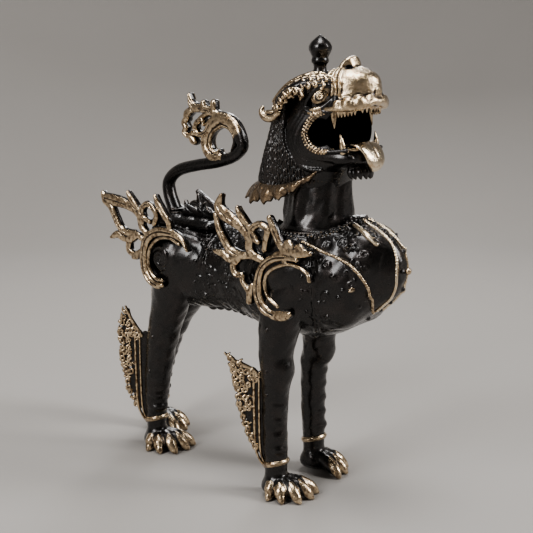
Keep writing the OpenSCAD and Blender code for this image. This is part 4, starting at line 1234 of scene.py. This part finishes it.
# strands of the brow on the left side: [x, y, z, radius], the thickest first
BROW = [
    [(20, -84, 461, 1.6), (26, -72, 464.5, 2.4), (31, -60, 466.5, 3.0), (35, -46, 466, 3.6),
     (38.5, -31, 461, 4.0), (42, -16, 452, 4.0), (44, -7, 441, 3.6), (44.5, -3, 431, 3.2)],
    [(31, -68, 460, 1.6), (36, -56, 461.5, 2.4), (40, -44, 459, 2.8), (43, -31, 454, 2.8),
     (45, -20, 446, 2.6), (46, -13, 437, 2.2)],
    [(44, -38, 444, 1.6), (45.5, -42, 449, 2.2), (46.5, -36, 454, 2.6), (47.5, -26, 453, 2.8),
     (48, -18, 447, 2.6), (48, -11, 438, 2.4), (47.5, -8, 430, 2.0)],
    [(47, -31, 446, 1.5), (48.5, -27, 448.5, 2.0), (48.8, -22, 446, 2.0), (48, -23, 441, 1.6)],
    [(45, -9, 429, 3.2), (45.5, -3, 424.5, 4.0), (46, 4, 423, 4.6), (46.5, 10, 425.5, 4.2),
     (46.5, 13, 430, 3.2), (46, 12, 434, 2.0)],
    [(45, -6, 431, 2.4), (46, 0, 429.5, 2.8), (46.5, 5, 429.5, 2.2)],
    [(27, -56, 470, 1.4), (32, -45, 470.5, 2.0), (37, -31, 466, 2.2), (41, -18, 458.5, 2.2),
     (43.5, -8, 449, 1.8), (44.5, -2, 441, 1.8)],
]


def brows():
    """The gold leaf scrolls that sweep from the brow back past the ear."""
    for side, word in SIDES:
        low, high = sorted((side * 12, side * 58))
        clay = Clay((low, -92, 412), (high, 28, 480), 0.62)
        sheet = spline([(31, -62, 463, 2.5), (37, -46, 461, 4), (42, -30, 456, 5), (45, -16, 447, 5),
                        (45.5, -8, 434, 4)])
        clay.add_rope(sheet * (side, 1, 1, 1), 1, 0.0)
        for rows in BROW:
            clay.add_rope(spline(rows) * (side, 1, 1, 1), 0.7, 1.0)
        for px, py, pz, size in ((42, -47, 456.5, 2.8), (44, -34, 450, 2.2), (38, -61, 455, 2.2),
                                 (47, -17, 440, 2.0)):
            clay.add_ball((side * px, py, pz), size, 0.7, 1.0)
        # leaf curls between the strands, each a small hook over a bead
        for k, (strand, gap) in enumerate(((BROW[0], 8.5), (BROW[1], 8.0), (BROW[2], 8.0))):
            for j, p in enumerate(spaced(spline(strand), gap)[1:]):
                out = 2.4 if k else 3.0
                hook = [(p[0] + out, p[1], p[2] + 1.0, 1.5),
                        (p[0] + out + 0.8, p[1] - 3.2, p[2] - 2.2, 1.7),
                        (p[0] + out + 0.6, p[1] - 0.6, p[2] - 4.6, 1.4),
                        (p[0] + out, p[1] + 2.0, p[2] - 2.6, 1.0)]
                clay.add_rope(spline(hook) * (side, 1, 1, 1), 0.5, 1.0)
                if k == 0 and j % 2:
                    clay.add_ball((side * (p[0] - 1.5), p[1] - 1, p[2] + 4.2), (2.2, 3.4, 2.2), 0.6, 1.0)
            clay.press_rope([(side * (q[0] + q[3] * 0.8), q[1], q[2] + q[3] * 0.3, 0.3)
                             for q in spline(strand)], 0.8, 1.2)
        cast(clay, "brow_leaf_" + word, "head", "brow_scroll_" + word)


MANE = spline([(346, 0, -4, 42, 48), (356, 0, -10, 42.5, 56), (368, 0, -10, 43.5, 52),
               (386, 0, -9, 44.5, 43), (404, 0, -13, 43.5, 41), (422, 0, -16, 42, 38.5),
               (440, 0, -20, 40, 36), (456, 0, -26, 34, 31), (467, 0, -30, 24, 23)], 5)


def mane():
    """A cap of small curls in rows and locks."""
    clay = Clay((-54, -84, 338), (54, 54, 476), 0.85)
    clay.add(clay.loft(MANE, 2, 2.1))
    part, x, y, z = clay.everywhere()
    around = np.arctan2(x, y + 10)
    sway = 0.9 * np.sin(z / 7.5 + around * 4) + 0.5 * np.sin(z / 3.1 + around * 9)
    lock_count, row_height = 38, 3.0
    locks = abs(np.sin(around * lock_count + sway))
    rows = abs(np.sin(z / row_height + 1.6 * np.sin(around * lock_count / 2)))
    clay.skin[part] += (1.7 * (1 - locks) + 1.5 * (1 - rows) ** 2 - 0.6).astype(np.float32)
    clay.cut(clay.drum(NECK, 36.4, 330, 357, 0.5), 1)
    front = np.interp(z, (346, 358, 366, 374, 384, 400, 476), (-66, -70, -60, -40, -22, -14, -14))
    clay.cut((part, (y - front + 0 * x).astype(np.float32)), 1)
    cast(clay, "mane_casting", "head", "mane")


def fringe():
    """The skirt of leaves under the mane: a thin sheet with a toothed edge, swept backwards."""
    across, down = 260, 26
    inner = both_halves([(-34, -52, 371), (-41, -38, 362), (-44.5, -18, 355), (-44, 2, 352),
                         (-36, 24, 352), (-20, 38, 353), (0, 43, 354)])
    outer = both_halves([(-36, -54, 365), (-45, -38, 352), (-49, -20, 340), (-50, 2, 332), (-46, 28, 329),
                         (-30, 52, 331), (0, 66, 335)])
    share = np.linspace(0, 1, across)
    inner, outer = (np.array([np.interp(share, np.linspace(0, 1, len(rows)), c) for c in rows.T]).T
                    for rows in (spline(inner, 20), spline(outer, 20)))
    leaves = 13
    phase = share * leaves
    tooth = 1 - abs(phase % 1 - 0.5) * 2
    small = 1 - abs(phase * 3 % 1 - 0.5) * 2
    length = 0.60 + 0.32 * tooth ** 0.8 + 0.08 * small        # share of the way to the outer edge
    rib = np.cos(phase * 2 * math.pi + math.pi)
    points = []
    for j in range(down + 1):
        t = j / down
        run = inner + (outer - inner) * (t * length)[:, None]
        bulge = 3.0 * math.sin(math.pi * t) + 1.6 * rib * t + 0.5 * np.cos(phase * 6 * math.pi) * t
        out = np.c_[inner[:, 0], inner[:, 1] + 10, np.full(across, 22.0)]
        out /= np.linalg.norm(out, axis=1)[:, None]
        points.append(run + out * np.reshape(bulge, (-1, 1)))
    top = np.array(points)
    thick = np.array((0, 0, -1.4))
    inward = np.c_[inner[:, 0], inner[:, 1] + 10, np.zeros(across)]
    inward /= np.linalg.norm(inward, axis=1)[:, None]
    under = top + thick - 1.6 * np.tile(inward, (down + 1, 1, 1))
    rows = down + 1
    index = np.arange(rows * across).reshape(rows, across)
    faces = []
    a, b, c, d = index[:-1, :-1], index[:-1, 1:], index[1:, 1:], index[1:, :-1]
    faces.append(np.stack([a, b, c, d], -1).reshape(-1, 4))
    faces.append(faces[0][:, ::-1] + rows * across)
    rim = np.r_[index[0, :], index[1:, -1], index[-1, -2::-1], index[-2:0:-1, 0]]
    nxt = np.roll(rim, -1)
    faces.append(np.stack([rim, rim + rows * across, nxt + rows * across, nxt], -1))
    faces = np.vstack(faces)
    points = np.vstack([top.reshape(-1, 3), under.reshape(-1, 3)])
    edge = np.repeat(np.linspace(0, 1, rows), across)
    ribs = np.tile(rib, rows)
    gold = np.r_[0.9 + 0.2 * edge, 0.8 * np.ones(rows * across)]
    ridge = np.r_[0.14 * ribs + 0.05, 0 * ribs + 0.1]
    obj = piece_from("mane_leaves", points, faces, gold, ridge)
    finish_piece(obj, "head", "mane_fringe", METAL["brown"])


def beard():
    """Eight short locks under the chin."""
    clay = Clay((-22, -106, 352), (22, -66, 384), 0.6)
    clay.add_ball((0, -82, 374), (15, 11, 6), 1)
    for k in range(8):
        a = math.radians(-105 + 30 * k)
        px, py = 12.5 * math.sin(a), -83 - 10 * math.cos(a)
        lock = spline([(px * 0.7, -83 + (py + 83) * 0.6, 374, 3.6), (px, py, 369.5, 3.8),
                       (px * 1.1, py - 1, 365.5, 2.6), (px * 1.05, py - 2, 362.5, 1.1)])
        clay.add_rope(lock, 0.8)
    cast(clay, "beard_locks", "head", "chin_beard")


def crown():
    """The top knot: a stem and an eight-sided bud."""
    clay = Clay((-20, -50, 462), (20, -10, 514), 0.5)
    top = box_mm("crown_finial")[1][2]
    profile = [(462, 13), (466, 10.5), (470, 8.2), (474, 7.0), (top - 32, 7.0), (top - 28.5, 9.2),
               (top - 25.5, 9.2), (top - 24, 8.6), (top - 21, 9.8), (top - 16, 12.1), (top - 12, 12.3),
               (top - 8, 10.2), (top - 4, 6.0), (top - 1.2, 2.2), (top, 0.6)]
    part, x, y, z = clay.everywhere()
    y = y - NECK[1] - 1
    around = np.arctan2(x, y)
    facet = np.cos(math.pi / 8) / np.cos((around + 0.5) % (math.pi / 4) - math.pi / 8)
    bud = np.clip((z - (top - 23)) / 4, 0, 1)
    wide = np.interp(z, *spline(profile, 5).T) * (1 + bud * 0.35 * (facet - 0.97))
    clay.skin[part] = np.maximum(np.sqrt(x ** 2 + y ** 2) - wide, z - top)
    clay.gold[part] = 0.12
    cast(clay, "crown_bud", "head", "crown_finial")


# ------------------------------------------------------------------ back plate and tail

def plate():
    """The lift-off back plate with a lip that drops into the hatch."""
    low, high = box_mm("back_plate")
    low, high = low - SHIFT, high - SHIFT
    seat = low[2] + 5.3
    clay = Clay(low - 4, high + 12, 0.9)
    clay.add(clay.block((low[0], low[1], seat), (high[0], high[1], high[2] - 1.5), 4.5), 1)
    clay.add(clay.block((low[0] + 4, low[1] + 4, seat + 2), (high[0] - 4, high[1] - 4, high[2]), 3.5), 1)
    clay.add(clay.block((-24.2, HATCH[1] - 42.2, low[2]), (24.2, HATCH[1] + 42.2, seat + 3), 3), 0.8)
    outline = [(x * (high[0] - 2.2), y, high[2] - 4.5, 1.3) for x, y in
               [(-1, low[1] + 10), (-1, high[1] - 10), (-0.72, high[1] - 2.2), (0.72, high[1] - 2.2),
                (1, high[1] - 10), (1, low[1] + 10), (0.72, low[1] + 2.2), (-0.72, low[1] + 2.2),
                (-1, low[1] + 10)]]
    clay.press_rope(outline, 0.9, 1.8)
    for side in (-1, 1):
        for y0, size in ((HATCH[1] - 26, 8), (HATCH[1] - 4, 7), (HATCH[1] + 18, 6)):
            spiral = [(side * (15 + size * (1 - 0.8 * t) * math.sin(7 * t)),
                       y0 + size * (1 - 0.8 * t) * math.cos(7 * t), high[2] + 0.2, 1.3)
                      for t in np.linspace(0, 1, 22)]
            clay.add_rope(spiral, 1.2, 0.1)
    clay.add(clay.drum(TAIL_ROOT, 13, high[2] - 2, high[2] + 1.8, 1.4), 2)
    clay.cut(clay.drum(TAIL_ROOT, 4.4, low[2] - 5, high[2] - 1, 0.3), 0.4)
    cast(clay, "back_plate_casting", "back_plate", "back_plate")


def spikes():
    """The dark flames that stand on the plate before and behind the tail."""
    relief = Relief((100, 290), (186, 334), 0.5)
    for rows in ([(112, 298, 5), (134, 299, 8), (160, 300, 9), (180, 300, 6)],
                 [(134, 300, 10), (148, 304, 11), (153, 312, 6), (154, 325, 1.6)],
                 [(160, 300, 12), (168, 304, 10), (174, 308, 6), (176, 315, 1.6)],
                 [(120, 299, 6), (131, 303, 5), (139, 309, 2)],
                 [(142, 300, 7), (146, 308, 4), (144, 315, 1.6)]):
        relief.strand(rows, 0.9)
    relief.groove([(136, 301), (149, 307), (153, 317)], 1.0, 0.5)
    relief.groove([(163, 301), (171, 306), (175, 311)], 1.0, 0.5)
    clay = relief.clay(8, 2.2, 1.6, 0.1)
    cast(clay, "dorsal_fringe", "back_plate", "dorsal_flames", crumbs=100)


def tail():
    """The tail from its threaded root to the foot of the ring."""
    root = np.array((0, TAIL_ROOT[1], 0))
    clay = Clay((-13, 68, 276), (13, 224, 412), 0.85)
    route = spline([(0, 191, 296, 9.0), (0, 197, 306, 8.8), (0, 204, 322, 8.4), (0, 204, 337, 7.8),
                    (0, 188, 350.5, 7.2), (0, 156, 359, 6.8), (0, 124, 364.5, 6.6), (0, 98, 372.5, 6.8),
                    (0, 84, 383, 7.0), (0, 82.5, 390, 6.6)], 6)
    clay.add_rope(route, 1)
    clay.add(clay.drum(root, 3.97, HATCH[2] - 14, 300, 0.3), 0.5)
    for z, size in ((300, 10.4), (303.5, 9.6)):
        ring = [(size * math.cos(a), root[1] + size * math.sin(a) + (z - 298) * 0.5, z, 1.4)
                for a in np.linspace(0, 2 * math.pi, 40)]
        clay.add_rope(ring, 1.2)
    clay.press_rope([(0, p[1], p[2] + p[3], 0.4) for p in route[24:48]], -0.5, 2.5)
    cast(clay, "tail_casting", "back_plate", "tail")


# strands of the ring and the flame at the tail's end: [y, z, width], the ring's first
TAIL_STRANDS = [
    [(83, 391, 11), (86, 398, 12), (92, 407, 13), (102, 414, 13), (113, 417, 12), (124, 415, 10),
     (133, 408, 9)],
    [(118, 414, 9), (131, 405, 9.5), (139, 393, 10), (139, 381, 10), (131, 372, 10), (119, 370, 9),
     (116, 373, 7)],
    [(115, 371, 8), (108, 370, 9), (98, 372, 8)],
    [(113, 408, 3.4), (125, 401, 3.4), (131, 391, 3.4), (129, 380, 3.4), (120, 375.5, 3.2), (117, 379, 3)],
    [(112, 408, 3.2), (102, 406, 3.2), (94, 399, 3.2), (92, 390, 3.2), (96, 380, 3.0)],
    [(122, 414, 6), (131, 408, 5), (137, 400, 5), (149, 396, 5.4), (156, 403, 5), (152, 411, 5),
     (144, 414, 4.4), (141, 408, 3)],
    [(118, 418, 9), (128, 423, 9), (140, 426, 8), (151, 427, 7), (160, 425, 7), (168, 419, 6.6)],
    [(163, 425, 6), (170, 420, 7), (170, 414, 6.4)],
    [(171, 414, 5), (174, 409, 7), (171, 403, 6.4)],
    [(171, 403, 5), (173, 398, 7), (168, 394, 6), (160, 396, 5)],
    [(160, 397, 5), (152, 397, 4.4)],
    [(163, 393, 5), (160, 389, 8.4), (157, 387, 6)],
    [(151, 427, 8), (158, 428, 9), (163, 434, 6), (165, 443, 1.8)],
    [(143, 425, 6), (142, 430, 8), (142, 433, 6)],
    [(127, 421, 6), (126, 428, 7), (126, 434, 6)],
    [(135, 421, 5), (146, 416, 4), (149, 410, 3)],
]


def tail_end():
    """The ring that the tail ends in, with its gold flame."""
    relief = Relief((68, 356), (184, 450), 0.55)
    for k, rows in enumerate(TAIL_STRANDS):
        relief.strand(fuller(rows, 1.15, 0.8 if k < 3 else 1.4), 1.0 if k < 3 else 0.85, blend=2.0)
        if k > 4 and len(rows) > 3:
            relief.groove(rows[1:-1], 1.0, 0.3)
    clay = relief.clay(15, 4.2, 3.0)
    part, _, y, z = clay.everywhere()
    fade = np.clip((z - 386) / 14 + (y - 96) / 20, 0, 1)
    clay.gold[part] *= np.maximum(fade, np.clip((y - 108) / 6, 0, 1)).astype(np.float32)
    cast(clay, "tail_ring_and_flame", "back_plate", "tail_flame", lambda p: np.c_[p[:, 0] * 0.9, p[:, 1:]])


# ------------------------------------------------------------------ the studio

def studio():
    """A pale floor that curves up into a round wall, five soft lights and the camera."""
    mesh = bpy.data.meshes.new("studio_floor")
    flat, bend, wall_top = 1.6, 1.4, 3.2
    profile = [(0.0, 0.0), (flat, 0.0)]
    profile += [(flat + bend * math.sin(a), bend - bend * math.cos(a))
                for a in np.linspace(0.1, math.pi / 2, 14)]
    profile += [(flat + bend, wall_top)]
    around = 72
    points = [(0, 0, 0)] + [(r * math.cos(2 * math.pi * k / around),
                             r * math.sin(2 * math.pi * k / around), z)
                            for r, z in profile[1:] for k in range(around)]
    faces = [(0, 1 + k, 1 + (k + 1) % around) for k in range(around)]
    for j in range(len(profile) - 2):
        for k in range(around):
            a, b = 1 + j * around + k, 1 + j * around + (k + 1) % around
            faces.append((a, a + around, b + around, b))
    mesh.from_pydata(points, [], faces)
    mesh.shade_smooth()
    floor = bpy.data.objects.new("studio_floor", mesh)
    bpy.context.scene.collection.objects.link(floor)
    paper = Shader("pale_paper")
    tint = paper.mix(paper.noise(3.0, 2), (0.335, 0.316, 0.297), (0.350, 0.331, 0.312))
    shader = paper.node("ShaderNodeBsdfPrincipled", {"Base Color": s_out(tint), "Roughness": 0.85})
    paper.node("ShaderNodeOutputMaterial", {"Surface": shader.outputs[0]})
    mesh.materials.append(paper.material)

    statue, wall = (0, 0, 0.28), (0.7, 2.8, 0.8)
    for name, place, aim, size, power in (("key_light", (0.95, -1.75, 1.55), statue, (0.6, 1.3), 38),
                                          ("fill_light", (-1.75, 0.15, 1.35), statue, (0.45, 1.3), 24),
                                          ("top_light", (-0.15, -0.1, 2.3), statue, (0.9, 0.9), 29),
                                          ("rim_light", (1.45, 0.9, 1.5), statue, (0.4, 1.2), 12),
                                          ("wall_light", (-0.3, 1.0, 1.9), wall, (0.6, 0.6), 14)):
        light = bpy.data.lights.new(name, "AREA")
        light.shape, light.size, light.size_y, light.energy = "RECTANGLE", *size, power
        lamp = bpy.data.objects.new(name, light)
        lamp.location = place
        lamp.rotation_euler = Vector(np.subtract(aim, place)).to_track_quat("-Z", "Y").to_euler()
        bpy.context.scene.collection.objects.link(lamp)

    world = bpy.data.worlds.new("soft_room")
    world.use_nodes = True
    world.node_tree.nodes["Background"].inputs["Color"].default_value = (1.0, 0.97, 0.93, 1)
    world.node_tree.nodes["Background"].inputs["Strength"].default_value = 0.13
    bpy.context.scene.world = world

    camera = bpy.data.objects.new("camera", bpy.data.cameras.new("camera"))
    camera.data.lens, camera.data.sensor_width = 73.5, 36
    camera.data.clip_start, camera.data.clip_end = 0.05, 20
    right_x, right_y, look_down = 0.656, -0.755, 11.25
    camera.location = (-0.926, -0.833, 0.494)
    camera.rotation_euler = (math.radians(90 - look_down), 0, math.atan2(right_y, right_x))
    bpy.context.scene.collection.objects.link(camera)
    bpy.context.scene.camera = camera
    bpy.context.scene.view_settings.look = "AgX - Medium High Contrast"


studio()
body_clay = torso()
for leg_name in ANKLES:
    leg(leg_name)
    anklet(leg_name)
    fin(leg_name)
flames()
collar(body_clay)
chest(body_clay)
studs(body_clay)
neck()
head()
snout()
teeth()
jaw()
tongue()
eyes()
brows()
mane()
fringe()
beard()
crown()
plate()
spikes()
tail()
tail_end()
nut_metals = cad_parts["tail_nut"].data.materials
nut_metals.clear()
nut_metals.append(METAL["brown"])
